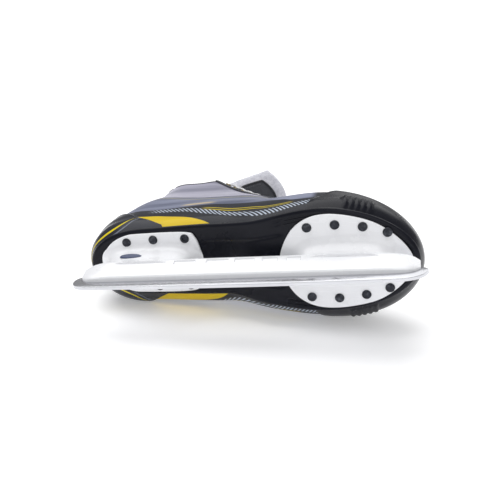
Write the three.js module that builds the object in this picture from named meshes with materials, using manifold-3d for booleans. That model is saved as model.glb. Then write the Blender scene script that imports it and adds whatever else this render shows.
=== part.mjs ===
// Ice hockey skate for a right foot, about EU 42, lying on its side.
//
// Everything is drawn upright first: X from heel to toe, Y to the wearer's left, Z up from the ice.
// The last lines turn the finished skate onto its inner side: Z up from the floor, sole facing -Y.
// Units are millimetres.

import * as THREE from 'three';
import { mergeVertices } from 'three/addons/utils/BufferGeometryUtils.js';
import Module from 'manifold-3d';

const wasm = await Module();
wasm.setup();

// ---------------------------------------------------------------- driving dimensions

const GAP = 0.3; // kept between pieces that touch

// Runner
const RUNNER_LENGTH = 292;
const RUNNER_THICKNESS = 3;
const RUNNER_HEIGHT = 26; // ice edge to the edge hidden in the holder
const ROCKER_RADIUS = 3000;
const TAB_WIDTH = 22; // two tabs carry the hidden bolts
const TAB_TOP = 36;

// Holder
const BEAM_BOTTOM = 13;
const BEAM_TOP = 36;
const BEAM_HALF_WIDTH = 11.5;
const BEAM_FOOT_HALF_WIDTH = 5;
const PLATE_THICKNESS = 2.9;
const POST_WALL = 4;
const BOLT_BOSS_RADIUS = 8;

// Sole
const TOE_SOLE_HEIGHT = 54; // upper's lower rim above the ice, under the ball of the foot
const HEEL_LIFT = 12; // how much higher that rim is at the heel
const LIFT_START = 12; // the arch climbs from here...
const LIFT_END = -31; // ...to here
const LIFT_KEEP = 10; // height over the sole up to which the rise is whole
const LIFT_FADE = 60; // further height over which it dies out
const OUTSOLE_THICKNESS = 3.4;
const OUTSOLE_LIP = 1.5; // the outsole stands proud of the upper
const INSOLE_THICKNESS = 2.6;
const FOOTBED_THICKNESS = 4;

// Upper, as layers counted inwards from the outer skin
const OVERLAY_THICKNESS = 1.6; // heel counter and facings
const TOE_CAP_THICKNESS = 2.4;
const QUARTER_THICKNESS = 2.5;
const LINING_THICKNESS = 5;
const TONGUE_THICKNESS = 6;
const INNER_SHIFT = 6.5; // the upper bulges towards the inner side, over the sole
const SHIFT_HEIGHT = 26; // height over the sole where that bulge is whole
const SHAFT_LEAN = 5; // the shaft leans further that way
const TOE_SWING = 2.5; // and so does the toe
const FACING_SETBACK = 8; // facing edge behind the instep line
const FACING_WIDTH = 20;
const THROAT_HEIGHT = 66; // height over the sole where the facings part
const COLLAR_FRONT = 197; // heights of the collar line over the sole
const COLLAR_DIP = 178;
const COLLAR_BACK = 183;
const TENDON_GUARD_HEIGHT = 36;
const TOE_SEAM_FOOT = 104; // where the toe cap meets the quarters, at the sole...
const TOE_SEAM_TOP = 80; // ...and over the instep
const COUNTER_FRONT = -58; // front edge of the heel counter at the sole

// Tongue flap
const FLAP_WIDTH = 66;
const FLAP_LENGTH = 62;
const FLAP_THICKNESS = 9;
const FLAP_LEAN_FOOT = 30; // degrees forward from upright at the hinge...
const FLAP_LEAN_TIP = 85; // ...and at the tip
const FLAP_WRAP = 6; // how far its edges curl back

// Fasteners
const TOE_RIVETS = [[50, 30.5], [73, 32], [95.5, 29.5], [115, 24]]; // x, half spacing
const HEEL_RIVETS = [[-111, 20], [-86.5, 21.5], [-58, 21.5]];
const RIVET_SHANK_RADIUS = 1.7;
const RIVET_HEAD_RADIUS = 4;
const RIVET_CLINCH_RADIUS = 2.6;
const BOLT_X = { front: 80, rear: -90 };
const BOLT_SHANK_RADIUS = 2;
const BOLT_PIN_RADIUS = 3;
const BOLT_PIN_LENGTH = 8;
const NUT_RADIUS = 4.6;
const NUT_HEIGHT = 4;
const ACCESS_RADIUS = 6.5; // holes through which the nuts are reached

// Eyelets and lace
const EYELET_COUNT = 10;
const EYELET_BORE_RADIUS = 2.2;
const EYELET_BARREL_RADIUS = 2.9;
const EYELET_FLANGE_RADIUS = 4.4;
const EYELET_FLANGE_THICKNESS = 0.9;
const EYELET_SEAT = 0.6; // underside of the flange over the smooth skin, clear of the facets
const EYELET_INSET = 9; // from the facing edge
const LACE_WIDTH = 6;
const LACE_THICKNESS = 1.4;

// Lying pose
const TOE_RAISED = 5.2; // degrees
const COLLAR_RAISED = 1; // degrees

// The skin of the upper: slices parallel to the sole, from the sole rim to above the collar.
// height over the sole, back end, front end, half widths at heel, waist and ball,
// and the lengths over which the two ends round off.
const SLICES = [
  { height: -10, back: -141, front: 134, heel: 23, waist: 26, ball: 39, backRound: 50, frontRound: 80 },
  { height: 0, back: -147, front: 139, heel: 29, waist: 31, ball: 44, backRound: 50, frontRound: 80 },
  { height: 14, back: -156, front: 143.5, heel: 38.5, waist: 41, ball: 53, backRound: 50, frontRound: 77 },
  { height: 30, back: -159, front: 142, heel: 42, waist: 45.5, ball: 56.5, backRound: 50, frontRound: 75 },
  { height: 46, back: -159, front: 129, heel: 42.5, waist: 47, ball: 54.5, backRound: 50, frontRound: 80 },
  { height: 54, back: -158, front: 113, heel: 42.5, waist: 47, ball: 51, backRound: 50, frontRound: 90 },
  { height: 62, back: -156.5, front: 86, heel: 42.5, waist: 46.5, ball: 47.5, backRound: 50, frontRound: 92 },
  { height: 71, back: -155, front: 64, heel: 42.5, waist: 45.5, ball: 46, backRound: 48, frontRound: 80 },
  { height: 96, back: -150, front: 36, heel: 42.5, waist: 43.5, ball: 44, backRound: 46, frontRound: 62 },
  { height: 140, back: -142, front: -5, heel: 39, waist: 39, ball: 39, backRound: 44, frontRound: 46 },
  { height: 202, back: -141, front: -50, heel: 40, waist: 40, ball: 40, backRound: 42, frontRound: 42 },
  { height: 240, back: -148, front: -72, heel: 41, waist: 41, ball: 41, backRound: 40, frontRound: 34 },
];
const HEEL_STATION = -110;
const WAIST_STATION = -30;
const BALL_STATION = 60;
const FORM_TOP = 236;

// ---------------------------------------------------------------- colours

const finish = (color, roughness, metalness) => ({ color, roughness, metalness });
const FINISHES = {
  steel: finish(0xb9bcc0, 0.22, 1),
  plastic: finish(0xf2f3f5, 0.3, 0),
  composite: finish(0x0d0e11, 0.25, 0),
  quarter: finish(0x2a2c36, 0.4, 0),
  counter: finish(0x121318, 0.35, 0),
  rivet: finish(0x33363b, 0.4, 0.9),
  zinc: finish(0x9a9ea3, 0.4, 1),
  board: finish(0x8a7a60, 0.8, 0),
  foam: finish(0x3a3d44, 0.9, 0),
  lining: finish(0x26282e, 0.9, 0),
  felt: finish(0xdedee2, 0.95, 0),
  brass: finish(0xb79a5b, 0.35, 0.9),
  lace: finish(0xf4f4f4, 0.9, 0),
};

// ---------------------------------------------------------------- solids and cuts

/** A closed three.js geometry as a manifold solid. */
function solid(geometry) {
  const bare = geometry.index ? geometry.clone() : mergeVertices(geometry);
  bare.deleteAttribute('normal');
  bare.deleteAttribute('uv');
  const merged = mergeVertices(bare);
  const vertProperties = Float32Array.from(merged.attributes.position.array);
  const triVerts = Uint32Array.from(merged.index.array);
  return new wasm.Manifold(new wasm.Mesh({ numProp: 3, vertProperties, triVerts }));
}

/** A manifold solid back as a three.js geometry. */
function geometryOf(body) {
  const mesh = body.getMesh();
  const geometry = new THREE.BufferGeometry();
  geometry.setAttribute('position', new THREE.BufferAttribute(Float32Array.from(mesh.vertProperties), 3));
  geometry.setIndex(Array.from(mesh.triVerts));
  geometry.computeVertexNormals();
  return geometry;
}

/** One solid minus several others. */
function cut(body, tools) {
  return tools.reduce((left, tool) => left.subtract(tool), body);
}

/** Several solids as one. */
function join(bodies) {
  return bodies.reduce((whole, body) => whole.add(body));
}

function box(x0, x1, y0, y1, z0, z1) {
  const geometry = new THREE.BoxGeometry(x1 - x0, y1 - y0, z1 - z0);
  return solid(geometry.translate((x0 + x1) / 2, (y0 + y1) / 2, (z0 + z1) / 2));
}

/** An upright round rod. */
function rod(x, y, z0, z1, radius, sides = 12) {
  const geometry = new THREE.CylinderGeometry(radius, radius, z1 - z0, sides);
  return solid(geometry.rotateX(Math.PI / 2).translate(x, y, (z0 + z1) / 2));
}

/** A side view outline in X and Z, as deep as depth and centred on the skate's middle plane. */
function sidePrism(shape, depth, middle = 0) {
  const geometry = new THREE.ExtrudeGeometry(shape, { depth, bevelEnabled: false, curveSegments: 8 });
  return solid(geometry.rotateX(Math.PI / 2).translate(0, middle + depth / 2, 0));
}

const polygon = (points) => new THREE.Shape(points.map(([x, z]) => new THREE.Vector2(x, z)));

/** A solid between rings: ring(around, up) gives points anticlockwise seen from above. */
function loft(ring, around, levels) {
  const geometry = new THREE.CylinderGeometry(1, 1, 1, around, levels).rotateX(Math.PI / 2);
  const place = geometry.attributes.position;
  const vertex = new THREE.Vector3();
  for (let i = 0; i < place.count; i += 1) {
    vertex.fromBufferAttribute(place, i);
    const turn = Math.atan2(vertex.x, -vertex.y) / (2 * Math.PI);
    const step = Math.round((turn + 1) * around) % around;
    const up = vertex.z + 0.5;
    const rim = ring(step / around, up);
    const middle = ring(0, up).lerp(ring(0.5, up), 0.5);
    const radius = Math.round(Math.hypot(vertex.x, vertex.y));
    middle.lerp(rim, radius);
    place.setXYZ(i, middle.x, middle.y, middle.z);
  }
  return solid(geometry);
}

// ---------------------------------------------------------------- the skin of the upper

const smooth = (value) => {
  const share = Math.min(1, Math.max(0, value));
  return share * share * (3 - 2 * share);
};

/** One measure of the slices at any height, as a smooth curve through the listed slices. */
function sliced(field, height) {
  const last = SLICES.length - 1;
  const at = (index) => SLICES[Math.min(last, Math.max(0, index))];
  let low = 0;
  while (low < last - 1 && SLICES[low + 1].height < height) {
    low += 1;
  }
  const slope = (index) => {
    const before = at(index - 1);
    const after = at(index + 1);
    return (after[field] - before[field]) / (after.height - before.height);
  };
  const span = at(low + 1).height - at(low).height;
  const t = (height - at(low).height) / span;
  const rise = at(low + 1)[field] - at(low)[field];
  const a = slope(low) * span - rise;
  const b = rise - slope(low + 1) * span;
  return at(low)[field] + t * rise + t * (1 - t) * ((1 - t) * a + t * b);
}

/** Height above the ice of a point x along the skate and so high over the sole. */
function above(height, x) {
  const climb = smooth((LIFT_START - x) / (LIFT_START - LIFT_END));
  const fade = Math.min(1, Math.max(0, 1 - (height - LIFT_KEEP) / LIFT_FADE));
  return TOE_SOLE_HEIGHT + height + HEEL_LIFT * climb * fade;
}

/** Sideways shift of the skate's middle line. */
function middleLine(height, x) {
  const swing = TOE_SWING * smooth((x - BALL_STATION) / 80);
  const bulge = INNER_SHIFT * smooth(height / SHIFT_HEIGHT);
  const lean = SHAFT_LEAN * smooth((height - 60) / 140);
  return swing + bulge + lean;
}

/** Front end of the skin at a height, with the surface moved inwards. */
function frontEnd(height, inset) {
  const slope = sliced('front', height + 1) - sliced('front', height - 1);
  return sliced('front', height) - inset * Math.hypot(1, slope / 2);
}

/** Half width of the skin away from its rounded ends. */
function halfWidth(height, x, inset) {
  const heel = sliced('heel', height);
  const waist = sliced('waist', height);
  const ball = sliced('ball', height);
  const rear = smooth((x - HEEL_STATION) / (WAIST_STATION - HEEL_STATION));
  const fore = smooth((x - WAIST_STATION) / (BALL_STATION - WAIST_STATION));
  return heel + (waist - heel) * rear + (ball - waist) * fore - inset;
}

const BACK_SHARE = 1 / 4; // shares of one side's steps spent on the rounded ends
const FRONT_SHARE = 3 / 8;

/** Point of one side of a slice: along runs from 0 at the back to 1 at the front. */
function outline(height, along, inset) {
  const back = sliced('back', height) + inset;
  const front = frontEnd(height, inset);
  const backRound = sliced('backRound', height) - inset;
  const frontRound = sliced('frontRound', height) - inset;
  if (along < BACK_SHARE) {
    const angle = (along / BACK_SHARE) * Math.PI / 2;
    const x = back + backRound * (1 - Math.cos(angle));
    return { x, half: halfWidth(height, x, inset) * Math.sin(angle) };
  }
  if (along > 1 - FRONT_SHARE) {
    const angle = ((1 - along) / FRONT_SHARE) * Math.PI / 2;
    const x = front - frontRound * (1 - Math.cos(angle));
    return { x, half: halfWidth(height, x, inset) * Math.sin(angle) };
  }
  const share = (along - BACK_SHARE) / (1 - FRONT_SHARE - BACK_SHARE);
  const x = THREE.MathUtils.lerp(back + backRound, front - frontRound, share);
  return { x, half: halfWidth(height, x, inset) };
}

/** Point of the skin: side is -1 for the outer side and 1 for the inner side. */
function skin(height, along, side, inset = 0) {
  const { x, half } = outline(height, along, inset);
  return new THREE.Vector3(x, side * half + middleLine(height, x), above(height, x));
}

/** Point of the skin at a distance behind the instep line. */
function skinBehindInstep(height, setback, side, inset = 0) {
  const round = sliced('frontRound', height);
  const angle = Math.acos(Math.max(0, 1 - setback / round));
  return skin(height, 1 - FRONT_SHARE * angle / (Math.PI / 2), side, inset);
}

const FORM_HEIGHTS = [-9, 3, 14, 26, 38, 47, 54, 61, 68, 78, 94, 116, 145, 175, 202, FORM_TOP];

/** The solid inside the skin, moved inwards. */
function form(inset) {
  const levels = FORM_HEIGHTS.length - 1;
  const ring = (around, up) => {
    const height = FORM_HEIGHTS[Math.round(up * levels)];
    const along = around < 0.5 ? around * 2 : (1 - around) * 2;
    return skin(height, along, around < 0.5 ? -1 : 1, inset);
  };
  return loft(ring, 32, levels);
}

/** A flat layer that follows the sole between two heights. */
function soleLayer(bottom, top, bottomInset, topInset) {
  const lengthSteps = 28;
  const geometry = new THREE.BoxGeometry(1, 1, 1, lengthSteps, 2, 1);
  const place = geometry.attributes.position;
  const endTrim = 0.02; // leaves short straight ends
  for (let i = 0; i < place.count; i += 1) {
    const along = THREE.MathUtils.lerp(endTrim, 1 - endTrim, place.getX(i) + 0.5);
    const isTop = place.getZ(i) > 0;
    const { x, half } = outline(0, along, isTop ? topInset : bottomInset);
    const y = place.getY(i) * 2 * half + middleLine(0, x);
    place.setXYZ(i, x, y, above(isTop ? top : bottom, x));
  }
  return solid(geometry);
}

/** A shell of the upper between two depths, trimmed at the sole. */
function layer(outer, thickness) {
  const shell = form(outer).subtract(form(outer + thickness));
  return shell.subtract(soleLayer(-40, 0, -30, -30));
}

/** The instep line, moved back, from one height to another. */
function instepLine(setback, from, to) {
  const steps = 12;
  return Array.from({ length: steps + 1 }, (_, i) => {
    const height = THREE.MathUtils.lerp(from, to, i / steps);
    const point = skinBehindInstep(height, setback, 1);
    return [point.x, point.z];
  });
}

const far = 220; // beyond the skate on every side

/** Everything below the collar line and behind the facing edge. */
function quarterOutline() {
  const edge = instepLine(FACING_SETBACK, THROAT_HEIGHT, COLLAR_FRONT);
  const collar = [[-80, TOE_SOLE_HEIGHT + COLLAR_DIP + 2], [-104, TOE_SOLE_HEIGHT + COLLAR_DIP]];
  const rear = [[-122, TOE_SOLE_HEIGHT + COLLAR_BACK], [-far, TOE_SOLE_HEIGHT + COLLAR_BACK]];
  const seam = [[TOE_SEAM_FOOT, 0], [TOE_SEAM_FOOT, TOE_SOLE_HEIGHT], [TOE_SEAM_TOP, edge[0][1] + 12]];
  return polygon([[-far, 0], ...seam, [edge[0][0], edge[0][1] + 12], ...edge, ...collar, ...rear]);
}

const OVERLAY = 0;
const QUARTER = OVERLAY_THICKNESS + GAP;
const LINING = QUARTER + QUARTER_THICKNESS + GAP;
const TONGUE = LINING + 0.6; // under the inner ends of the eyelets

/** Half of a piece, on one side of the middle plane. */
function half(body, side) {
  const keep = side > 0 ? [GAP / 2, far] : [-far, -GAP / 2];
  return body.intersect(box(-far, far, keep[0], keep[1], -far, 2 * far));
}

// ---------------------------------------------------------------- fasteners' places

const outsoleBottom = -GAP - OUTSOLE_THICKNESS;
const toePlateTop = TOE_SOLE_HEIGHT + outsoleBottom - GAP;
const heelPlateTop = toePlateTop + HEEL_LIFT;

const rivetPlaces = [];
for (const [group, rows, top] of [['toe', TOE_RIVETS, toePlateTop], ['heel', HEEL_RIVETS, heelPlateTop]]) {
  rows.forEach(([x, spread], row) => {
    for (const [side, name] of [[-1, 'outer'], [1, 'inner']]) {
      rivetPlaces.push({ name: `rivet_${group}_${name}_${row + 1}`, x, y: side * spread, plateTop: top });
    }
  });
}
const rivetHoles = rivetPlaces.map((p) => rod(p.x, p.y, 0, 100, RIVET_SHANK_RADIUS + 1.5 * GAP, 6));
const accessHoles = Object.values(BOLT_X).map((x) => rod(x, 0, 40, 100, ACCESS_RADIUS, 12));

/** Places of the eyelets on one side, with the skin's outward direction. */
function eyeletPlaces(side) {
  const first = THROAT_HEIGHT + 7;
  const last = COLLAR_FRONT - 7;
  return Array.from({ length: EYELET_COUNT }, (_, i) => {
    // Equal steps in height crowd the low eyelets, where the instep is flat, so the steps grow.
    const share = (i / (EYELET_COUNT - 1)) ** 1.25;
    const height = THREE.MathUtils.lerp(first, last, share);
    const setback = FACING_SETBACK + EYELET_INSET;
    const point = skinBehindInstep(height, setback, side);
    const up = skinBehindInstep(height + 2, setback, side).sub(skinBehindInstep(height - 2, setback, side));
    const back = skinBehindInstep(height, setback + 2, side).sub(skinBehindInstep(height, setback - 2, side));
    const normal = new THREE.Vector3().crossVectors(up, back).multiplyScalar(-side).normalize();
    return { point, normal, height };
  });
}
const eyelets = { outer: eyeletPlaces(-1), inner: eyeletPlaces(1) };

/** Turns a geometry drawn along Z to point along a direction, and moves it. */
function aim(geometry, point, direction) {
  const turn = new THREE.Quaternion().setFromUnitVectors(new THREE.Vector3(0, 0, 1), direction);
  return geometry.applyQuaternion(turn).translate(point.x, point.y, point.z);
}

function eyeletHole({ point, normal }) {
  const length = 24;
  const geometry = new THREE.CylinderGeometry(1, 1, length, 6).rotateX(Math.PI / 2);
  const radius = EYELET_BARREL_RADIUS + 2.5 * GAP;
  return solid(aim(geometry.scale(radius, radius, 1), point, normal));
}

// ---------------------------------------------------------------- sub-parts

function makeRunner() {
  const end = RUNNER_LENGTH / 2;
  const rocker = (x) => x * x / (2 * ROCKER_RADIUS);
  const shape = new THREE.Shape();
  shape.moveTo(-end, 17);
  shape.quadraticCurveTo(-end, 4, -end + 14, rocker(end - 14));
  for (let x = -end + 32; x < end - 24; x += 20) {
    shape.lineTo(x, rocker(x));
  }
  shape.quadraticCurveTo(end - 4, 4, end, 19);
  shape.quadraticCurveTo(end, RUNNER_HEIGHT, end - 10, RUNNER_HEIGHT);
  shape.lineTo(-end + 10, RUNNER_HEIGHT);
  shape.quadraticCurveTo(-end, RUNNER_HEIGHT, -end, 17);
  const tabs = Object.values(BOLT_X).map((x) => box(
    x - TAB_WIDTH / 2, x + TAB_WIDTH / 2,
    -RUNNER_THICKNESS / 2, RUNNER_THICKNESS / 2,
    RUNNER_HEIGHT - 6, TAB_TOP,
  ));
  const body = join([sidePrism(shape, RUNNER_THICKNESS), ...tabs]);
  return cut(body, Object.values(BOLT_X).flatMap((x) => keyhole(x)));
}

const PIN_HEIGHT = TAB_TOP - 7; // centre of a hook bolt's cross pin

/** The notch that a hook bolt's cross pin and shank lie in. */
function keyhole(x) {
  const radius = BOLT_PIN_RADIUS + GAP;
  const round = new THREE.CylinderGeometry(radius, radius, 2 * BOLT_PIN_LENGTH, 12);
  const slot = BOLT_SHANK_RADIUS + GAP;
  return [
    solid(round.translate(x, 0, PIN_HEIGHT)),
    box(x - slot, x + slot, -BOLT_PIN_LENGTH, BOLT_PIN_LENGTH, PIN_HEIGHT, TAB_TOP + 1),
  ];
}

/** Half outlines of the holder's two plates, from one end to the other, in X and half width. */
const TOE_PLATE = [[25, 0], [28, 14], [37, 29], [50, 38], [66, 41], [86, 39], [106, 33], [122, 22], [132, 10]];
const HEEL_PLATE = [[-135, 0], [-133, 11], [-125, 20], [-113, 25.5], [-100, 27], [-58, 27], [-49, 22], [-45, 9]];
const TOE_PLATE_TIP = 135;
const HEEL_PLATE_TIP = -44;

function plate(halfOutline, tip, top) {
  const inner = halfOutline.map(([x, spread]) => [x, spread + middleLine(0, x)]);
  const outer = halfOutline.slice(1).reverse().map(([x, spread]) => [x, middleLine(0, x) - spread]);
  const points = [...inner, [tip, middleLine(0, tip)], ...outer];
  const vectors = points.map(([x, y]) => new THREE.Vector3(x, y, 0));
  const rim = new THREE.CatmullRomCurve3(vectors, true).getPoints(32).slice(0, -1);
  const shape = new THREE.Shape(rim.map((p) => new THREE.Vector2(p.x, p.y)));
  const geometry = new THREE.ExtrudeGeometry(shape, { depth: PLATE_THICKNESS, bevelEnabled: false });
  return solid(geometry.translate(0, 0, top - PLATE_THICKNESS));
}

/** A tower between a plate and the beam: half length and half width at the top and at the foot. */
function post(middle, foot, top, topSize, footSize, inset) {
  const ring = (around, up) => {
    const angle = (around - 0.5) * 2 * Math.PI;
    const flare = up ** 1.8; // hollow flanks that open towards the plate
    const length = THREE.MathUtils.lerp(footSize[0], topSize[0], flare) - inset;
    const width = THREE.MathUtils.lerp(footSize[1], topSize[1], flare) - inset;
    const round = (value) => Math.sign(value) * Math.abs(value) ** 0.62;
    const x = middle + length * round(Math.cos(angle));
    const y = width * round(Math.sin(angle));
    return new THREE.Vector3(x, y, THREE.MathUtils.lerp(foot, top, up));
  };
  return loft(ring, 20, 4);
}

function makeHolder() {
  const end = RUNNER_LENGTH / 2 - 6;
  const profile = new THREE.Shape();
  profile.moveTo(-end, BEAM_BOTTOM + 6);
  profile.quadraticCurveTo(-end + 4, BEAM_BOTTOM, -end + 16, BEAM_BOTTOM);
  profile.lineTo(end - 20, BEAM_BOTTOM);
  profile.quadraticCurveTo(end - 4, BEAM_BOTTOM, end, BEAM_BOTTOM + 9);
  profile.lineTo(end - 5, BEAM_TOP);
  profile.lineTo(-end + 7, BEAM_TOP);
  const section = polygon([
    [-BEAM_FOOT_HALF_WIDTH, BEAM_BOTTOM - 1], [BEAM_FOOT_HALF_WIDTH, BEAM_BOTTOM - 1],
    [BEAM_HALF_WIDTH, BEAM_TOP - 5], [BEAM_HALF_WIDTH - 2, BEAM_TOP + 1],
    [2 - BEAM_HALF_WIDTH, BEAM_TOP + 1], [-BEAM_HALF_WIDTH, BEAM_TOP - 5],
  ]);
  const along = new THREE.ExtrudeGeometry(section, { depth: 2 * end, bevelEnabled: false });
  along.rotateX(Math.PI / 2).rotateZ(Math.PI / 2).translate(-end, 0, 0);
  const beam = sidePrism(profile, 4 * BEAM_HALF_WIDTH).intersect(solid(along));
  const inPlate = 1; // each post reaches this far into its plate
  const toePlateBottom = toePlateTop - PLATE_THICKNESS;
  const heelPlateBottom = heelPlateTop - PLATE_THICKNESS;
  const posts = [
    { middle: 80, top: toePlateBottom, topSize: [43, 21], footSize: [36, 10.5] },
    { middle: -90, top: heelPlateBottom, topSize: [42, 15.5], footSize: [33, 10] },
  ];
  const towers = posts.map((p) => post(p.middle, BEAM_TOP - 4, p.top + inPlate, p.topSize, p.footSize, 0));
  const hollows = posts.map((p) => cut(
    post(p.middle, BEAM_TOP, p.top + PLATE_THICKNESS + 1, p.topSize, p.footSize, POST_WALL),
    [rod(p.middle, 0, 0, 100, BOLT_BOSS_RADIUS, 16)],
  ));
  const plates = [plate(TOE_PLATE, TOE_PLATE_TIP, toePlateTop), plate(HEEL_PLATE, HEEL_PLATE_TIP, heelPlateTop)];
  const grooveHalf = RUNNER_THICKNESS / 2 + GAP;
  const grooves = [box(-far, far, -grooveHalf, grooveHalf, 0, RUNNER_HEIGHT + GAP)];
  for (const post of posts) {
    const x = post.middle;
    const tab = TAB_WIDTH / 2 + GAP;
    const pin = BOLT_PIN_RADIUS + GAP;
    const pinHalf = BOLT_PIN_LENGTH / 2 + GAP;
    const seat = post.top + PLATE_THICKNESS - NUT_HEIGHT - 2 * GAP;
    grooves.push(box(x - tab, x + tab, -grooveHalf, grooveHalf, 0, TAB_TOP + GAP));
    grooves.push(box(x - pin, x + pin, -pinHalf, pinHalf, 0, PIN_HEIGHT + pin));
    grooves.push(rod(x, 0, PIN_HEIGHT, 100, BOLT_SHANK_RADIUS + GAP, 10));
    grooves.push(rod(x, 0, seat, 100, NUT_RADIUS + GAP, 12));
  }
  return cut(join([beam, ...towers, ...plates]), [...hollows, ...grooves, ...rivetHoles]);
}

function makeBolt(x, plateTop) {
  const pin = new THREE.CylinderGeometry(BOLT_PIN_RADIUS, BOLT_PIN_RADIUS, BOLT_PIN_LENGTH, 12);
  return join([solid(pin.translate(x, 0, PIN_HEIGHT)), rod(x, 0, PIN_HEIGHT, plateTop - 0.5, BOLT_SHANK_RADIUS, 10)]);
}

function makeNut(x, plateTop) {
  const top = plateTop - GAP;
  const hex = rod(x, 0, top - NUT_HEIGHT, top, NUT_RADIUS, 6);
  return hex.subtract(rod(x, 0, 0, 100, BOLT_SHANK_RADIUS + GAP, 10));
}

function makeRivet(x, y, plateTop) {
  const under = plateTop - PLATE_THICKNESS - GAP;
  const over = plateTop + GAP + OUTSOLE_THICKNESS + GAP + INSOLE_THICKNESS + GAP;
  const profile = [
    [0, under - 1.6], [2.8, under - 1.3], [RIVET_HEAD_RADIUS, under],
    [RIVET_SHANK_RADIUS, under], [RIVET_SHANK_RADIUS, over],
    [RIVET_CLINCH_RADIUS, over], [0, over + 1],
  ].map(([radius, z]) => new THREE.Vector2(radius, z));
  return solid(new THREE.LatheGeometry(profile, 10).rotateX(Math.PI / 2).translate(x, y, 0));
}

function makeOutsole() {
  const lower = soleLayer(outsoleBottom, outsoleBottom + 1.6, 2 - OUTSOLE_LIP, -OUTSOLE_LIP);
  const upper = soleLayer(outsoleBottom + 1.5, -GAP, -OUTSOLE_LIP, -OUTSOLE_LIP);
  return cut(join([lower, upper]), [...rivetHoles, ...accessHoles]);
}

const FACET = 0.7; // room for the chords of the faceted shell
const INNER = QUARTER + QUARTER_THICKNESS + GAP + FACET; // inset of whatever lies inside the quarters

function makeInsoleBoard() {
  return cut(soleLayer(0, INSOLE_THICKNESS, INNER, INNER), [...rivetHoles, ...accessHoles]);
}

function makeFootbed() {
  const bottom = INSOLE_THICKNESS + 2 * GAP + 1.3;
  return soleLayer(bottom, bottom + FOOTBED_THICKNESS, INNER + 1, INNER - 3);
}

function makeQuarter(side) {
  const name = side < 0 ? 'outer' : 'inner';
  const body = layer(QUARTER, QUARTER_THICKNESS).intersect(sidePrism(quarterOutline(), 2 * far));
  return cut(half(body, side), eyelets[name].map(eyeletHole));
}

/** Band along the facing edge. */
function makeFacing(side) {
  const name = side < 0 ? 'outer' : 'inner';
  const front = instepLine(FACING_SETBACK, THROAT_HEIGHT + 1, COLLAR_FRONT - 1);
  const rear = instepLine(FACING_SETBACK + FACING_WIDTH, THROAT_HEIGHT + 1, COLLAR_FRONT - 5).reverse();
  const band = sidePrism(polygon([...front, ...rear]), 2 * far);
  const body = layer(OVERLAY, OVERLAY_THICKNESS).intersect(band);
  return cut(half(body, side), eyelets[name].map(eyeletHole));
}

function makeHeelCounter() {
  const shape = new THREE.Shape();
  shape.moveTo(-far, 0);
  shape.lineTo(COUNTER_FRONT, 0);
  shape.lineTo(COUNTER_FRONT, above(0, COUNTER_FRONT));
  shape.quadraticCurveTo(COUNTER_FRONT - 22, above(30, COUNTER_FRONT), -112, above(58, -112));
  shape.quadraticCurveTo(-130, above(70, -130), -far, above(70, -150));
  return layer(OVERLAY, OVERLAY_THICKNESS).intersect(sidePrism(shape, 2 * far));
}

function makeToeCap() {
  const seamTop = above(THROAT_HEIGHT, TOE_SEAM_TOP) + 12;
  const foot = TOE_SEAM_FOOT + GAP;
  const shape = polygon([[foot, 0], [far, 0], [far, far], [TOE_SEAM_TOP + GAP, far],
    [TOE_SEAM_TOP + GAP, seamTop], [foot, TOE_SOLE_HEIGHT]]);
  return layer(OVERLAY, TOE_CAP_THICKNESS).intersect(sidePrism(shape, 2 * far));
}

const HINGE_GAP = 0.6; // at the two flexing lines of the collar

function makeTendonGuard() {
  const foot = TOE_SOLE_HEIGHT + COLLAR_BACK + HINGE_GAP;
  const shape = new THREE.Shape();
  shape.moveTo(-far, foot);
  shape.lineTo(-119, foot);
  shape.quadraticCurveTo(-124, foot + 14, -134, foot + TENDON_GUARD_HEIGHT);
  shape.lineTo(-far, foot + TENDON_GUARD_HEIGHT);
  return layer(QUARTER, QUARTER_THICKNESS).intersect(sidePrism(shape, 2 * far));
}

function makeLining(side) {
  const front = instepLine(FACING_SETBACK + FACING_WIDTH + 12, 66, COLLAR_FRONT - 3);
  const top = TOE_SOLE_HEIGHT + COLLAR_DIP - 1;
  const rear = [[-104, top], [-far, top], [-far, 122], [-40, 122]];
  const body = layer(LINING, LINING_THICKNESS).intersect(sidePrism(polygon([...front, ...rear]), 2 * far));
  return half(body, side);
}

const FLAP_HEIGHT = COLLAR_FRONT + 1; // the bending line's height over the sole

/** Padding under the laces, from the throat to the collar. */
function makeTongue() {
  const wrap = FACING_SETBACK + FACING_WIDTH + 9;
  const rear = instepLine(wrap, THROAT_HEIGHT - 2, FLAP_HEIGHT).reverse();
  const shape = polygon([[far, rear[rear.length - 1][1]], [far, rear[0][1]], ...rear]);
  const limit = box(-far, TOE_SEAM_TOP - 4, -far, far, 0, rear[0][1]);
  return layer(TONGUE, TONGUE_THICKNESS).intersect(sidePrism(shape, 2 * far)).intersect(limit);
}

/** Where the flap bends: the front edge of the tongue's upper end. */
function flapHinge() {
  return skin(FLAP_HEIGHT, 1, 1, TONGUE).add(new THREE.Vector3(0, 0, HINGE_GAP));
}

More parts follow.
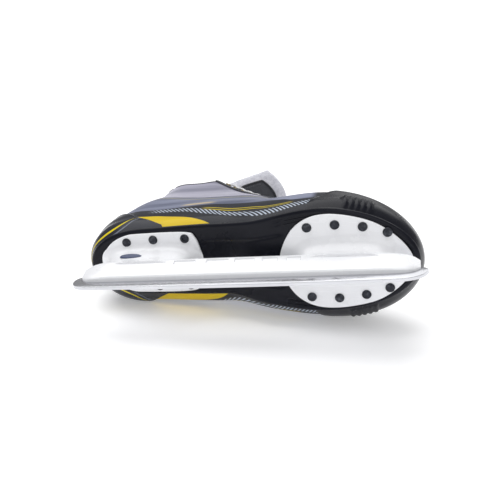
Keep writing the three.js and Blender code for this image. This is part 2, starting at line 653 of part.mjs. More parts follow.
/** Top of the tongue: a padded sheet that bends forward and curls round the shin. */
function makeTongueFlap() {
  const hinge = flapHinge();
  const start = THREE.MathUtils.degToRad(FLAP_LEAN_FOOT);
  const end = THREE.MathUtils.degToRad(FLAP_LEAN_TIP);
  const radius = FLAP_LENGTH / (end - start);
  const geometry = new THREE.BoxGeometry(FLAP_THICKNESS, FLAP_WIDTH, 1, 1, 8, 6);
  const place = geometry.attributes.position;
  for (let i = 0; i < place.count; i += 1) {
    const up = place.getZ(i) + 0.5;
    const across = place.getY(i) / (FLAP_WIDTH / 2);
    const corner = 1 - 0.25 * up * up * across * across; // rounds the tip's corners
    const lean = THREE.MathUtils.lerp(start, end, up * corner);
    const reach = radius + FLAP_THICKNESS / 2 - place.getX(i) + FLAP_WRAP * across * across;
    const x = hinge.x + radius * Math.cos(start) - reach * Math.cos(lean);
    const z = hinge.z + reach * Math.sin(lean) - radius * Math.sin(start);
    place.setXYZ(i, x, hinge.y + place.getY(i) * (0.8 + 0.2 * up), z);
  }
  return solid(geometry);
}

function makeEyelet({ point, normal }) {
  const depth = OVERLAY_THICKNESS + QUARTER_THICKNESS + GAP;
  const profile = [
    [EYELET_BORE_RADIUS, -depth], [EYELET_BARREL_RADIUS, -depth], [EYELET_BARREL_RADIUS, EYELET_SEAT],
    [EYELET_FLANGE_RADIUS, EYELET_SEAT], [EYELET_BORE_RADIUS, EYELET_SEAT + EYELET_FLANGE_THICKNESS],
    [EYELET_BORE_RADIUS, -depth],
  ].map(([radius, z]) => new THREE.Vector2(radius, z));
  const geometry = new THREE.LatheGeometry(profile, 8).rotateX(Math.PI / 2);
  return solid(aim(geometry, point, normal));
}

/** A flat strap over the skin, from an eyelet on the outer side to one on the inner side. */
function laceRun(fromHeight, toHeight) {
  const lift = EYELET_SEAT + EYELET_FLANGE_THICKNESS + 2 * FACET + LACE_THICKNESS / 2;
  const pathPoint = (share, depth) => {
    const height = THREE.MathUtils.lerp(fromHeight, toHeight, share);
    const setback = FACING_SETBACK + EYELET_INSET;
    const reach = Math.acos(1 - setback / sliced('frontRound', height)) / (Math.PI / 2);
    const turn = reach * (2 * share - 1);
    return skin(height, 1 - FRONT_SHARE * Math.abs(turn), Math.sign(turn), depth - lift);
  };
  const geometry = new THREE.BoxGeometry(LACE_WIDTH, LACE_THICKNESS, 1, 1, 1, 6);
  const place = geometry.attributes.position;
  for (let i = 0; i < place.count; i += 1) {
    const share = place.getZ(i) + 0.5;
    const tangent = pathPoint(Math.min(1, share + 0.01), 0).sub(pathPoint(Math.max(0, share - 0.01), 0));
    const away = pathPoint(share, -1).sub(pathPoint(share, 1));
    const across = new THREE.Vector3().crossVectors(away, tangent).normalize();
    away.crossVectors(tangent, across).normalize();
    const point = pathPoint(share, 0).addScaledVector(across, place.getX(i)).addScaledVector(away, place.getY(i));
    place.setXYZ(i, point.x, point.y, point.z);
  }
  return solid(geometry);
}

function makeLace() {
  const heights = eyelets.outer.map((place) => place.height);
  const runs = [laceRun(heights[0], heights[0])];
  for (let i = 0; i < EYELET_COUNT - 1; i += 1) {
    runs.push(laceRun(heights[i], heights[i + 1]), laceRun(heights[i + 1], heights[i]));
  }
  return join(runs);
}

// ---------------------------------------------------------------- assembly

const upright = new THREE.Group();

function add(name, body, finishName) {
  const mesh = new THREE.Mesh(geometryOf(body), new THREE.MeshStandardMaterial(FINISHES[finishName]));
  mesh.name = name;
  upright.add(mesh);
}

add('runner', makeRunner(), 'steel');
add('holder', makeHolder(), 'plastic');
add('runner_bolt_front', makeBolt(BOLT_X.front, toePlateTop), 'zinc');
add('runner_bolt_rear', makeBolt(BOLT_X.rear, heelPlateTop), 'zinc');
add('bolt_nut_front', makeNut(BOLT_X.front, toePlateTop), 'zinc');
add('bolt_nut_rear', makeNut(BOLT_X.rear, heelPlateTop), 'zinc');
for (const { name, x, y, plateTop } of rivetPlaces) {
  add(name, makeRivet(x, y, plateTop), 'rivet');
}
add('outsole', makeOutsole(), 'composite');
add('insole_board', makeInsoleBoard(), 'board');
add('footbed', makeFootbed(), 'foam');
add('quarter_outer', makeQuarter(-1), 'quarter');
add('quarter_inner', makeQuarter(1), 'quarter');
add('heel_counter', makeHeelCounter(), 'counter');
add('toe_cap', makeToeCap(), 'composite');
add('tendon_guard', makeTendonGuard(), 'counter');
add('facing_outer', makeFacing(-1), 'quarter');
add('facing_inner', makeFacing(1), 'quarter');
add('ankle_lining_outer', makeLining(-1), 'lining');
add('ankle_lining_inner', makeLining(1), 'lining');
add('tongue', makeTongue(), 'felt');
add('tongue_flap', makeTongueFlap(), 'felt');
for (const side of ['outer', 'inner']) {
  eyelets[side].forEach((place, i) => add(`eyelet_${side}_${i + 1}`, makeEyelet(place), 'brass'));
}
add('lace', makeLace(), 'lace');

/** The skate turned onto its inner side, resting on Z = 0 around the Z axis. */
function layDown(group) {
  group.rotation.x = -Math.PI / 2;
  const tilted = new THREE.Group();
  tilted.add(group);
  tilted.rotation.set(THREE.MathUtils.degToRad(COLLAR_RAISED), -THREE.MathUtils.degToRad(TOE_RAISED), 0);
  const lying = new THREE.Group();
  lying.add(tilted);
  const bounds = new THREE.Box3().setFromObject(lying, true);
  const middle = bounds.getCenter(new THREE.Vector3());
  lying.position.set(-middle.x, -middle.y, -bounds.min.z);
  return lying;
}

export default layDown(upright);
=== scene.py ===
"""An ice hockey skate for a right foot, lying on its inner side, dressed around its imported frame.

Sizes are in millimetres in the upright skate's own axes: x from heel to toe, y to the inner side and z up
from the ice. ``LYING`` turns them into the frame's metres.
"""

import logging
import math
from collections.abc import Callable, Sequence
from dataclasses import dataclass
from enum import Enum
from functools import lru_cache

import bmesh
import bpy
from mathutils import Matrix, Vector
from mathutils.kdtree import KDTree


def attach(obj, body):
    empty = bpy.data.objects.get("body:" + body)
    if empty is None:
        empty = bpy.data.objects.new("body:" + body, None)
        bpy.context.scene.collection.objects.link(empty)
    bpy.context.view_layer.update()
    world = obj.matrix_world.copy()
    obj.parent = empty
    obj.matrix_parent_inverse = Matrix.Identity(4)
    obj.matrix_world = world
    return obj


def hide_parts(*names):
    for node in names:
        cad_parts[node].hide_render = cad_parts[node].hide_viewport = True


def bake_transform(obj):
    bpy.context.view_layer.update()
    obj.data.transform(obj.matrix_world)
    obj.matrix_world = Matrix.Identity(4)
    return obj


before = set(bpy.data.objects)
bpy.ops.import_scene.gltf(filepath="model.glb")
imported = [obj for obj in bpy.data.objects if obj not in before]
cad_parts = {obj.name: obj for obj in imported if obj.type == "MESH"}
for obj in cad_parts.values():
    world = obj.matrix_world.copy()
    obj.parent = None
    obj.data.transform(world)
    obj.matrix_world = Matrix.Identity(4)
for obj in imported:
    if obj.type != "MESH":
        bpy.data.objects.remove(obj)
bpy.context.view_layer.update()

log = logging.getLogger("skate")

ROOT = "skate"
MILLIMETRE = 0.001
LYING_ROLL = math.radians(-89)
LYING_SWING = math.radians(-5.2)
LYING_ORIGIN = Vector((0.0062455751, -0.148099, 0.0569350848))
LYING = (Matrix.Translation(LYING_ORIGIN) @ Matrix.Rotation(LYING_ROLL, 4, "X")
         @ Matrix.Rotation(LYING_SWING, 4, "Z"))

Place = Callable[[float, float, float], Vector]


class Side(Enum):
    """The two sides of the boot, as the sign of their y."""

    OUTER = -1
    INNER = 1

    @property
    def label(self) -> str:
        """The side's name as the frame's nodes say it."""
        return self.name.lower()


# ---------------------------------------------------------------- numbers and curves


def clamp(value: float) -> float:
    """A number held between 0 and 1."""
    return min(1.0, max(0.0, value))


def smooth(value: float) -> float:
    """A smooth step from 0 to 1."""
    share = clamp(value)
    return share * share * (3 - 2 * share)


def mix(start: float, end: float, share: float) -> float:
    """A number between two others."""
    return start + (end - start) * share


def curve_at(points: Sequence[tuple[float, float]], where: float) -> float:
    """A smooth curve through listed points, held level beyond them.

    Args:
        points: Pairs of place and value, with the places rising.
        where: The place to read.

    Returns:
        The curve's value there.
    """
    if where <= points[0][0]:
        return points[0][1]
    if where >= points[-1][0]:
        return points[-1][1]
    low = max(i for i, point in enumerate(points[:-1]) if point[0] <= where)

    def slope(index: int) -> float:
        before, after = points[max(0, index - 1)], points[min(len(points) - 1, index + 1)]
        return (after[1] - before[1]) / (after[0] - before[0])

    span = points[low + 1][0] - points[low][0]
    rise = points[low + 1][1] - points[low][1]
    share = (where - points[low][0]) / span
    start, end = slope(low) * span - rise, rise - slope(low + 1) * span
    return points[low][1] + share * rise + share * (1 - share) * ((1 - share) * start + share * end)


def spline(points: Sequence[Vector], share: float) -> Vector:
    """A point of the smooth curve through evenly counted points.

    Args:
        points: The points of the curve.
        share: How far along, from 0 to 1.

    Returns:
        The point there.
    """
    last = len(points) - 1
    step = clamp(share) * last
    low = min(last - 1, int(step))
    t = step - low
    before, start, end, after = (points[min(last, max(0, low + k))] for k in (-1, 0, 1, 2))
    return 0.5 * (
        2 * start + (end - before) * t + (2 * before - 5 * start + 4 * end - after) * t * t
        + (3 * start - before - 3 * end + after) * t ** 3
    )


def row_point(point: Vector) -> Vector:
    """A point of the upright skate, in the frame."""
    return LYING @ (point * MILLIMETRE)


# ---------------------------------------------------------------- the skin of the boot


@dataclass(frozen=True)
class Slice:
    """The boot's measures at one height over the sole."""

    back: float
    front: float
    heel: float
    waist: float
    ball: float
    back_round: float
    front_round: float
    slope: float


@dataclass(frozen=True)
class Skin:
    """The boot's outer form, as slices parallel to the sole.

    Each curve is listed against the height over the sole: the two ends, the half widths at heel, waist
    and ball, and the lengths over which the ends round off.
    """

    heights: tuple[float, ...] = (-10, 0, 14, 30, 46, 54, 62, 71, 96, 140, 202, 240)
    back: tuple[float, ...] = (-141, -147, -156, -159, -159, -158, -156.5, -155, -150, -142, -141, -148)
    front: tuple[float, ...] = (134, 139, 143.5, 142, 129, 113, 86, 64, 36, -5, -50, -72)
    heel: tuple[float, ...] = (23, 29, 38.5, 42, 42.5, 42.5, 42.5, 42.5, 42.5, 39, 40, 41)
    waist: tuple[float, ...] = (26, 31, 41, 45.5, 47, 47, 46.5, 45.5, 43.5, 39, 40, 41)
    ball: tuple[float, ...] = (39, 44, 53, 56.5, 54.5, 51, 47.5, 46, 44, 39, 40, 41)
    back_round: tuple[float, ...] = (50, 50, 50, 50, 50, 50, 50, 48, 46, 44, 42, 40)
    front_round: tuple[float, ...] = (80, 80, 77, 75, 80, 90, 92, 80, 62, 46, 42, 34)
    sole_height: float = 54
    heel_lift: float = 12
    lift_start: float = 12
    lift_end: float = -31
    lift_keep: float = 10
    lift_fade: float = 60
    inner_shift: float = 6.5
    shift_height: float = 26
    shaft_lean: float = 5
    toe_swing: float = 2.5
    back_share: float = 0.25
    front_share: float = 0.375

    @lru_cache(maxsize=None)
    def cut(self, step: int) -> "Slice":
        """The slice at a height given in steps of a fiftieth of a millimetre."""
        height = step / 50
        lists = (self.back, self.front, self.heel, self.waist, self.ball, self.back_round, self.front_round)
        values = [curve_at(tuple(zip(self.heights, values)), height) for values in lists]
        fronts = tuple(zip(self.heights, self.front))
        return Slice(*values, slope=(curve_at(fronts, height + 1) - curve_at(fronts, height - 1)) / 2)

    def at(self, height: float) -> "Slice":
        """The slice at any height."""
        return self.cut(round(height * 50))

    def above(self, height: float, x: float) -> float:
        """Height above the ice of a point so high over the sole."""
        climb = smooth((self.lift_start - x) / (self.lift_start - self.lift_end))
        kept = clamp(1 - (height - self.lift_keep) / self.lift_fade)
        return self.sole_height + height + self.heel_lift * climb * kept

    def middle(self, height: float, x: float) -> float:
        """Sideways place of the boot's middle line."""
        swing = self.toe_swing * smooth((x - 60) / 80)
        lean = self.shaft_lean * smooth((height - 60) / 140)
        return swing + self.inner_shift * smooth(height / self.shift_height) + lean

    def half_width(self, height: float, x: float, inset: float) -> float:
        """Half width away from the rounded ends."""
        here = self.at(height)
        rear, fore = smooth((x + 110) / 80), smooth((x + 30) / 90)
        return here.heel + (here.waist - here.heel) * rear + (here.ball - here.waist) * fore - inset

    def front_end(self, height: float, inset: float) -> float:
        """Front end of a slice, with the surface moved inwards."""
        here = self.at(height)
        return here.front - inset * math.hypot(1, here.slope)

    def outline(self, height: float, along: float, inset: float) -> tuple[float, float]:
        """A slice's place along the boot and its half width there.

        Args:
            height: Height over the sole.
            along: From 0 at the back to 1 at the front.
            inset: How far the surface is moved inwards.

        Returns:
            The place along x, and the half width.
        """
        here = self.at(height)
        back, front = here.back + inset, self.front_end(height, inset)
        back_round, front_round = here.back_round - inset, here.front_round - inset
        if along < self.back_share:
            turn = along / self.back_share * math.pi / 2
            x = back + back_round * (1 - math.cos(turn))
            return x, self.half_width(height, x, inset) * math.sin(turn)
        if along > 1 - self.front_share:
            turn = (1 - along) / self.front_share * math.pi / 2
            x = front - front_round * (1 - math.cos(turn))
            return x, self.half_width(height, x, inset) * math.sin(turn)
        share = (along - self.back_share) / (1 - self.front_share - self.back_share)
        x = mix(back + back_round, front - front_round, share)
        return x, self.half_width(height, x, inset)

    def point(self, height: float, along: float, side: float, inset: float = 0) -> Vector:
        """A point of the skin, on the side whose sign is given."""
        x, half = self.outline(height, along, inset)
        return Vector((x, side * half + self.middle(height, x), self.above(height, x)))

    def around(self, height: float, turn: float, inset: float = 0) -> Vector:
        """A point by one running number: -1 at the outer front, 0 at the back, 1 at the inner front."""
        return self.point(height, abs(turn), math.copysign(1, turn), inset)

    def behind_instep(self, height: float, setback: float) -> float:
        """How far along the point lies that is so far behind the instep line."""
        turn = math.acos(max(0.0, 1 - setback / self.at(height).front_round))
        return 1 - self.front_share * turn / (math.pi / 2)

    @lru_cache(maxsize=None)
    def along_of(self, height: float, x: float, inset: float = 0) -> float:
        """How far along a slice the place x lies, from 0 to 1."""
        low, high = 0.0, 1.0
        for _ in range(18):
            middle = (low + high) / 2
            if self.outline(height, middle, inset)[0] < x:
                low = middle
            else:
                high = middle
        return high

    def outward(self, height: float, turn: float) -> Vector:
        """The skin's outward direction."""
        up = self.around(height + 1, turn) - self.around(height - 1, turn)
        along = self.around(height, turn + 0.004) - self.around(height, turn - 0.004)
        return along.cross(up).normalized()


SKIN = Skin()

OVERLAY = 0.0
QUARTER = 1.9
LINING = 4.7
TONGUE = 5.3
FACING_SETBACK = 8
FACING_WIDTH = 20
THROAT_HEIGHT = 66
COLLAR = ((-150, 183), (-124, 183), (-112, 180.5), (-100, 178.5), (-86, 179), (-74, 184), (-58, 197), (-40, 197))
PLATE_TOP_TOE = 50.0
PLATE_TOP_HEEL = 62.0
PLATE_THICKNESS = 2.9


# ---------------------------------------------------------------- meshes


class Sheet:
    """A grid of quads laid over a surface, then closed into a solid or left open."""

    def __init__(self, columns: int, rows: int) -> None:
        """Makes the flat grid and keeps each vertex's place in it."""
        self.mesh = bmesh.new()
        self.mesh.loops.layers.uv.new("Lay")
        bmesh.ops.create_grid(self.mesh, x_segments=columns, y_segments=rows, size=0.5, calc_uvs=True)
        self.u = self.mesh.verts.layers.float.new("u")
        self.v = self.mesh.verts.layers.float.new("v")
        for vertex in self.mesh.verts:
            vertex[self.u], vertex[self.v] = vertex.co.x + 0.5, vertex.co.y + 0.5

    def trim(self, drop: Callable[[float, float], bool]) -> "Sheet":
        """Removes the faces whose centre's place in the grid is dropped."""
        faces = []
        for face in self.mesh.faces:
            centre = face.calc_center_median()
            if drop(centre.x + 0.5, centre.y + 0.5):
                faces.append(face)
        bmesh.ops.delete(self.mesh, geom=faces, context="FACES")
        return self

    def wrap(self, place: Place, layers: int = 1) -> "Sheet":
        """Gives the grid its shape and its thickness.

        Args:
            place: The point for a place in the grid and a depth from 0 to 1, in the upright skate's axes.
            layers: How many times the sheet is extruded through its depth; 0 leaves it open.

        Returns:
            The sheet itself.
        """
        for vertex in self.mesh.verts:
            vertex.co = place(vertex[self.u], vertex[self.v], 0.0)
        faces = self.mesh.faces[:]
        for layer in range(layers):
            made = bmesh.ops.extrude_face_region(self.mesh, geom=faces, use_keep_orig=layer == 0)
            faces = [part for part in made["geom"] if isinstance(part, bmesh.types.BMFace)]
            for part in made["geom"]:
                if isinstance(part, bmesh.types.BMVert):
                    part.co = place(part[self.u], part[self.v], (layer + 1) / layers)
        bmesh.ops.remove_doubles(self.mesh, verts=self.mesh.verts, dist=0.004)
        return self

    def cap(self) -> "Sheet":
        """Closes every open rim with one face."""
        rim = [edge for edge in self.mesh.edges if edge.is_boundary]
        bmesh.ops.holes_fill(self.mesh, edges=rim, sides=0)
        return self


def bevel_sharp(mesh: bmesh.types.BMesh, width: float, segments: int = 2, angle: float = 40) -> None:
    """Rounds the edges that turn by more than an angle.

    Args:
        mesh: The mesh to change.
        width: The bevel's width in millimetres.
        segments: Faces across the bevel.
        angle: Least turn in degrees.
    """
    edges = [edge for edge in mesh.edges if edge.is_manifold and edge.calc_face_angle(0) > math.radians(angle)]
    bmesh.ops.bevel(mesh, geom=edges, offset=width, offset_type="OFFSET", affect="EDGES", segments=segments,
                    profile=0.5, material=-1, clamp_overlap=True)


def finished(name: str, mesh: bmesh.types.BMesh, material: bpy.types.Material, crease: float = 38,
             upright: bool = True) -> bpy.types.Object:
    """Turns a finished bmesh into an object of the frame.

    Args:
        name: The object's name.
        mesh: The mesh in millimetres; it is freed.
        material: The object's material.
        crease: Angle in degrees past which an edge shades sharp.
        upright: Whether the mesh is in the upright skate's axes.

    Returns:
        The object, linked to the scene.
    """
    bmesh.ops.recalc_face_normals(mesh, faces=mesh.faces)
    if upright:
        for vertex in mesh.verts:
            vertex.co = row_point(vertex.co)
    data = bpy.data.meshes.new(name)
    mesh.to_mesh(data)
    mesh.free()
    data.materials.append(material)
    data.polygons.foreach_set("use_smooth", [True] * len(data.polygons))
    data.set_sharp_from_angle(angle=math.radians(crease))
    thing = bpy.data.objects.new(name, data)
    bpy.context.scene.collection.objects.link(thing)
    return thing


def joined(meshes: Sequence[bmesh.types.BMesh]) -> bmesh.types.BMesh:
    """Several meshes in one."""
    whole = bmesh.new()
    for mesh in meshes:
        held = bpy.data.meshes.new("held")
        mesh.to_mesh(held)
        whole.from_mesh(held)
        mesh.free()
        bpy.data.meshes.remove(held)
    return whole


def tube(path: Callable[[float], Vector], steps: int, radius: float, sides: int = 10, flat: float = 1.0,
         up: Vector = Vector((0, 0, 1))) -> bmesh.types.BMesh:
    """A rounded trim along a path, with closed ends.

    Args:
        path: The path's point for a share from 0 to 1.
        steps: Rings along it.
        radius: Half width across.
        sides: Faces around.
        flat: Height against width.
        up: A direction the section keeps to.

    Returns:
        The closed mesh in millimetres.
    """
    def place(u: float, v: float, _depth: float) -> Vector:
        ahead = path(min(1.0, v + 0.01)) - path(max(0.0, v - 0.01))
        across = ahead.cross(up).normalized()
        over = across.cross(ahead).normalized()
        end = math.sqrt(clamp(min(v, 1 - v) * steps / 2 + 0.15))
        turn = 2 * math.pi * u
        return path(v) + (across * math.cos(turn) + over * math.sin(turn) * flat) * radius * end

    return Sheet(sides, steps).wrap(place, layers=0).cap().mesh


def stitches(path: Callable[[float], Vector], outward: Callable[[float], Vector], length: float,
             pitch: float = 3.2) -> bmesh.types.BMesh:
    """A row of sewn stitches, each a small rounded bar half sunk in the surface.

    Args:
        path: The row's point for a share from 0 to 1.
        outward: The surface's outward direction there.
        length: The row's length in millimetres.
        pitch: From one stitch to the next.

    Returns:
        One mesh with every stitch.
    """
    whole = bmesh.new()
    count = max(2, round(length / pitch))
    for index in range(count):
        share = (index + 0.5) / count
        ahead = (path(min(1.0, share + 0.005)) - path(max(0.0, share - 0.005))).normalized()
        over = outward(share)
        across = over.cross(ahead).normalized()
        over = ahead.cross(across).normalized()
        turn = Matrix((ahead, across, over)).transposed().to_4x4()
        place = Matrix.Translation(path(share) + over * 0.05) @ turn @ Matrix.Diagonal((pitch * 0.34, 0.38, 0.3, 1))
        bmesh.ops.create_icosphere(whole, subdivisions=1, radius=1, matrix=place)
    return whole


# ---------------------------------------------------------------- node expressions


class Value:
    """A number that varies over a surface; arithmetic on it adds the nodes."""

    def __init__(self, graph: "Graph", socket: bpy.types.NodeSocket) -> None:
        """Wraps a socket of a graph."""
        self.graph, self.socket = graph, socket

    def __add__(self, other: "Value | float") -> "Value":
        """Sum."""
        return self.graph.math("ADD", self, other)

    __radd__ = __add__

    def __mul__(self, other: "Value | float") -> "Value":
        """Product."""
        return self.graph.math("MULTIPLY", self, other)

    __rmul__ = __mul__

    def __sub__(self, other: "Value | float") -> "Value":
        """Difference."""
        return self.graph.math("SUBTRACT", self, other)

    def __rsub__(self, other: "Value | float") -> "Value":
        """Difference from a number."""
        return self.graph.math("SUBTRACT", other, self)


class Graph:
    """One material's nodes, ending in a Principled shader."""

    def __init__(self, name: str) -> None:
        """Starts an empty material."""
        self.material = bpy.data.materials.new(name)
        self.material.use_nodes = True
        self.tree = self.material.node_tree
        self.shader = next(node for node in self.tree.nodes if node.type == "BSDF_PRINCIPLED")

    def node(self, kind: str, settings: dict | None = None, inputs: dict | None = None) -> bpy.types.Node:
        """Adds a node.

        Args:
            kind: The node's type.
            settings: Its own properties, set first.
            inputs: Values, sockets or Values for its inputs, by name or number.

        Returns:
            The node.
        """
        made = self.tree.nodes.new(kind)
        for key, value in (settings or {}).items():
            setattr(made, key, value)
        for key, value in (inputs or {}).items():
            self.feed(made.inputs[key], value)
        return made

    def feed(self, socket: bpy.types.NodeSocket, value: object) -> None:
        """Links a socket, or sets its constant."""
        if isinstance(value, Value):
            value = value.socket
        if isinstance(value, bpy.types.NodeSocket):
            self.tree.links.new(value, socket)
        else:
            socket.default_value = value

    def math(self, operation: str, first: object, second: object = 0.0) -> Value:
        """A Math node."""
        return Value(self, self.node("ShaderNodeMath", {"operation": operation}, {0: first, 1: second}).outputs[0])

    def step(self, value: Value, start: float, end: float) -> Value:
        """A smooth step from 0 at start to 1 at end, which may lie below start."""
        low, high, first, last = (start, end, 0.0, 1.0) if start < end else (end, start, 1.0, 0.0)
        node = self.node("ShaderNodeMapRange", {"interpolation_type": "SMOOTHSTEP"}, {
            "Value": value, "From Min": low, "From Max": high, "To Min": first, "To Max": last})
        return Value(self, node.outputs["Result"])

    def spread(self, value: Value, first: float, last: float) -> Value:
        """Turns 0 to 1 into first to last."""
        return value * (last - first) + first

    def profile(self, where: Value, points: Sequence[tuple[float, float]]) -> Value:
        """A curve through listed points, as a Float Curve node.

        Args:
            where: The place along the curve, in the points' units.
            points: Pairs of place and value.

        Returns:
            The curve's value.
        """
        low, high = points[0][0], points[-1][0]
        least, most = min(p[1] for p in points), max(p[1] for p in points) + 0.001
        share = Value(self, self.node("ShaderNodeMapRange", {}, {
            "Value": where, "From Min": low, "From Max": high}).outputs["Result"])
        node = self.node("ShaderNodeFloatCurve", {}, {"Value": share})
        curve = node.mapping.curves[0]
        flat = [((x - low) / (high - low), (value - least) / (most - least)) for x, value in points]
        curve.points[0].location, curve.points[-1].location = flat[0], flat[-1]
        for place in flat[1:-1]:
            curve.points.new(*place)
        node.mapping.update()
        return self.spread(Value(self, node.outputs[0]), least, most)

    def blend(self, share: object, first: object, second: object) -> bpy.types.NodeSocket:
        """A mix of two colours."""
        node = self.node("ShaderNodeMix", {"data_type": "RGBA"})
        self.feed(node.inputs["Factor"], share)
        self.feed(node.inputs[6], first if isinstance(first, bpy.types.NodeSocket) else (*first, 1))
        self.feed(node.inputs[7], second if isinstance(second, bpy.types.NodeSocket) else (*second, 1))
        return node.outputs[2]

    def object_place(self) -> bpy.types.NodeSocket:
        """The surface's place in the frame, in metres."""
        return self.node("ShaderNodeTexCoord").outputs["Object"]

    def lay(self) -> bpy.types.NodeSocket:
        """The surface's place in the piece's own grid."""
        return self.node("ShaderNodeUVMap", {"uv_map": "Lay"}).outputs["UV"]

    def upright(self) -> tuple[Value, Value, Value]:
        """The surface's place in the upright skate's axes, in metres."""
        back = LYING.inverted()
        turned = self.node("ShaderNodeMapping", {"vector_type": "POINT"}, {
            "Vector": self.object_place(), "Location": back.to_translation(), "Rotation": back.to_euler()})
        parts = self.node("ShaderNodeSeparateXYZ", {}, {0: turned.outputs[0]})
        return tuple(Value(self, parts.outputs[index]) for index in range(3))

    def parts(self, vector: bpy.types.NodeSocket) -> tuple[Value, Value, Value]:
        """A vector's three numbers."""
        node = self.node("ShaderNodeSeparateXYZ", {}, {0: vector})
        return tuple(Value(self, node.outputs[index]) for index in range(3))

    def noise(self, where: bpy.types.NodeSocket, scale: float, detail: float = 3, rough: float = 0.55) -> Value:
        """A noise pattern's height."""
        node = self.node("ShaderNodeTexNoise", {}, {"Vector": where, "Scale": scale, "Detail": detail,
                                                     "Roughness": rough})
        return Value(self, node.outputs["Fac"])

    def stretched(self, where: bpy.types.NodeSocket, scale: Sequence[float]) -> bpy.types.NodeSocket:
        """A place with its axes scaled."""
        return self.node("ShaderNodeMapping", {}, {"Vector": where, "Scale": Vector(scale)}).outputs[0]

    def bump(self, height: Value, strength: float, distance: float) -> None:
        """Feeds the shader's normal from a height."""
        node = self.node("ShaderNodeBump", {}, {"Height": height, "Strength": strength, "Distance": distance})
        self.feed(self.shader.inputs["Normal"], node.outputs[0])

    def set(self, name: str, value: object) -> None:
        """Sets a constant of the shader."""
        self.shader.inputs[name].default_value = value

    def finish(self, color: object, roughness: object, **constants: object) -> bpy.types.Material:
        """Sets the shader's colour, roughness and constants.

        Args:
            color: A colour or a colour socket.
            roughness: A number or a Value.
            constants: Other sockets, with _ for a space.

        Returns:
            The material.
        """
        self.feed(self.shader.inputs["Base Color"], color if isinstance(color, bpy.types.NodeSocket) else (*color, 1))
        self.feed(self.shader.inputs["Roughness"], roughness)
        for key, value in constants.items():
            self.feed(self.shader.inputs[key.replace("_", " ").title().replace("Ior", "IOR")], value)
        return self.material


# ---------------------------------------------------------------- finishes


DARK_SPECULAR = 0.14
YELLOW = (0.78, 0.62, 0.01)
INK = (0.008, 0.009, 0.013)


@dataclass(frozen=True)
class MouldedPlastic:
    """Glossy white nylon with a faint orange peel and light scuffs."""

    name: str = "holder_plastic"

    def build(self) -> bpy.types.Material:
        """The material."""
        graph = Graph(self.name)
        where = graph.object_place()
        cloud = graph.noise(where, 35, 4)
        scuff = graph.step(graph.noise(graph.stretched(where, (60, 900, 900)), 1.0, 5), 0.62, 0.75)
        color = graph.blend(cloud * 0.5, (0.93, 0.935, 0.955), (0.86, 0.87, 0.91))
        graph.bump(graph.noise(where, 900, 2) + scuff * 0.4, 0.06, 0.0006)
        return graph.finish(color, graph.spread(cloud, 0.2, 0.34) + scuff * 0.15, coat_weight=0.35,
                            coat_roughness=0.12)


@dataclass(frozen=True)
class GroundSteel:
    """Polished steel with grinding lines along its length and fine cross lines at its edge."""

    name: str = "runner_steel"

    def build(self) -> bpy.types.Material:
        """The material."""
        graph = Graph(self.name)
        where = graph.object_place()
        x, _y, z = graph.upright()
        lines = graph.noise(graph.stretched(where, (6, 2600, 2600)), 1.0, 4, 0.7)
        stone = graph.noise(graph.stretched(where, (2400, 40, 40)), 1.0, 3)
        edge = graph.step(z, 0.0035, 0.0015)
        haze = graph.noise(where, 22, 4)
        color = graph.blend(haze, (0.70, 0.70, 0.73), (0.52, 0.53, 0.56))
        graph.bump(lines * (1 - edge) + stone * edge, 0.12, 0.0002)
        return graph.finish(color, graph.spread(haze, 0.14, 0.30) + edge * 0.08, metallic=1.0)


@dataclass(frozen=True)
class TurnedMetal:
    """A small turned or plated part: rings, speckle and handling wear."""

    name: str
    dark: tuple[float, float, float]
    light: tuple[float, float, float]
    roughness: float = 0.35
    metallic: float = 1.0

    def build(self) -> bpy.types.Material:
        """The material."""
        graph = Graph(self.name)
        where = graph.object_place()
        speckle = graph.noise(where, 1400, 3)
        wear = graph.step(graph.noise(where, 260, 4), 0.45, 0.75)
        color = graph.blend(wear, self.dark, self.light)
        graph.bump(speckle, 0.15, 0.0002)
        return graph.finish(color, graph.spread(speckle, self.roughness - 0.08, self.roughness + 0.12),
                            metallic=self.metallic)


@dataclass(frozen=True)
class GlossShell:
    """Dark glossy moulded composite with a fine grain, haze and scratches."""

    name: str
    dark: tuple[float, float, float] = (0.004, 0.0045, 0.008)
    light: tuple[float, float, float] = (0.016, 0.017, 0.026)
    roughness: float = 0.24
    grain: float = 1600

    def build(self) -> bpy.types.Material:
        """The material."""
        graph = Graph(self.name)
        where = graph.object_place()
        haze = graph.noise(where, 18, 5)
        scratch = graph.step(graph.noise(graph.stretched(where, (90, 1500, 1500)), 1.0, 4), 0.6, 0.72)
        color = graph.blend(haze * 0.6 + scratch * 0.3, self.dark, self.light)
        graph.bump(graph.noise(where, self.grain, 2) + scratch * 0.5, 0.10, 0.0005)
        graph.set("Specular IOR Level", DARK_SPECULAR)
        return graph.finish(color, graph.spread(haze, self.roughness - 0.08, self.roughness + 0.14),
                            coat_weight=0.05, coat_roughness=0.08)


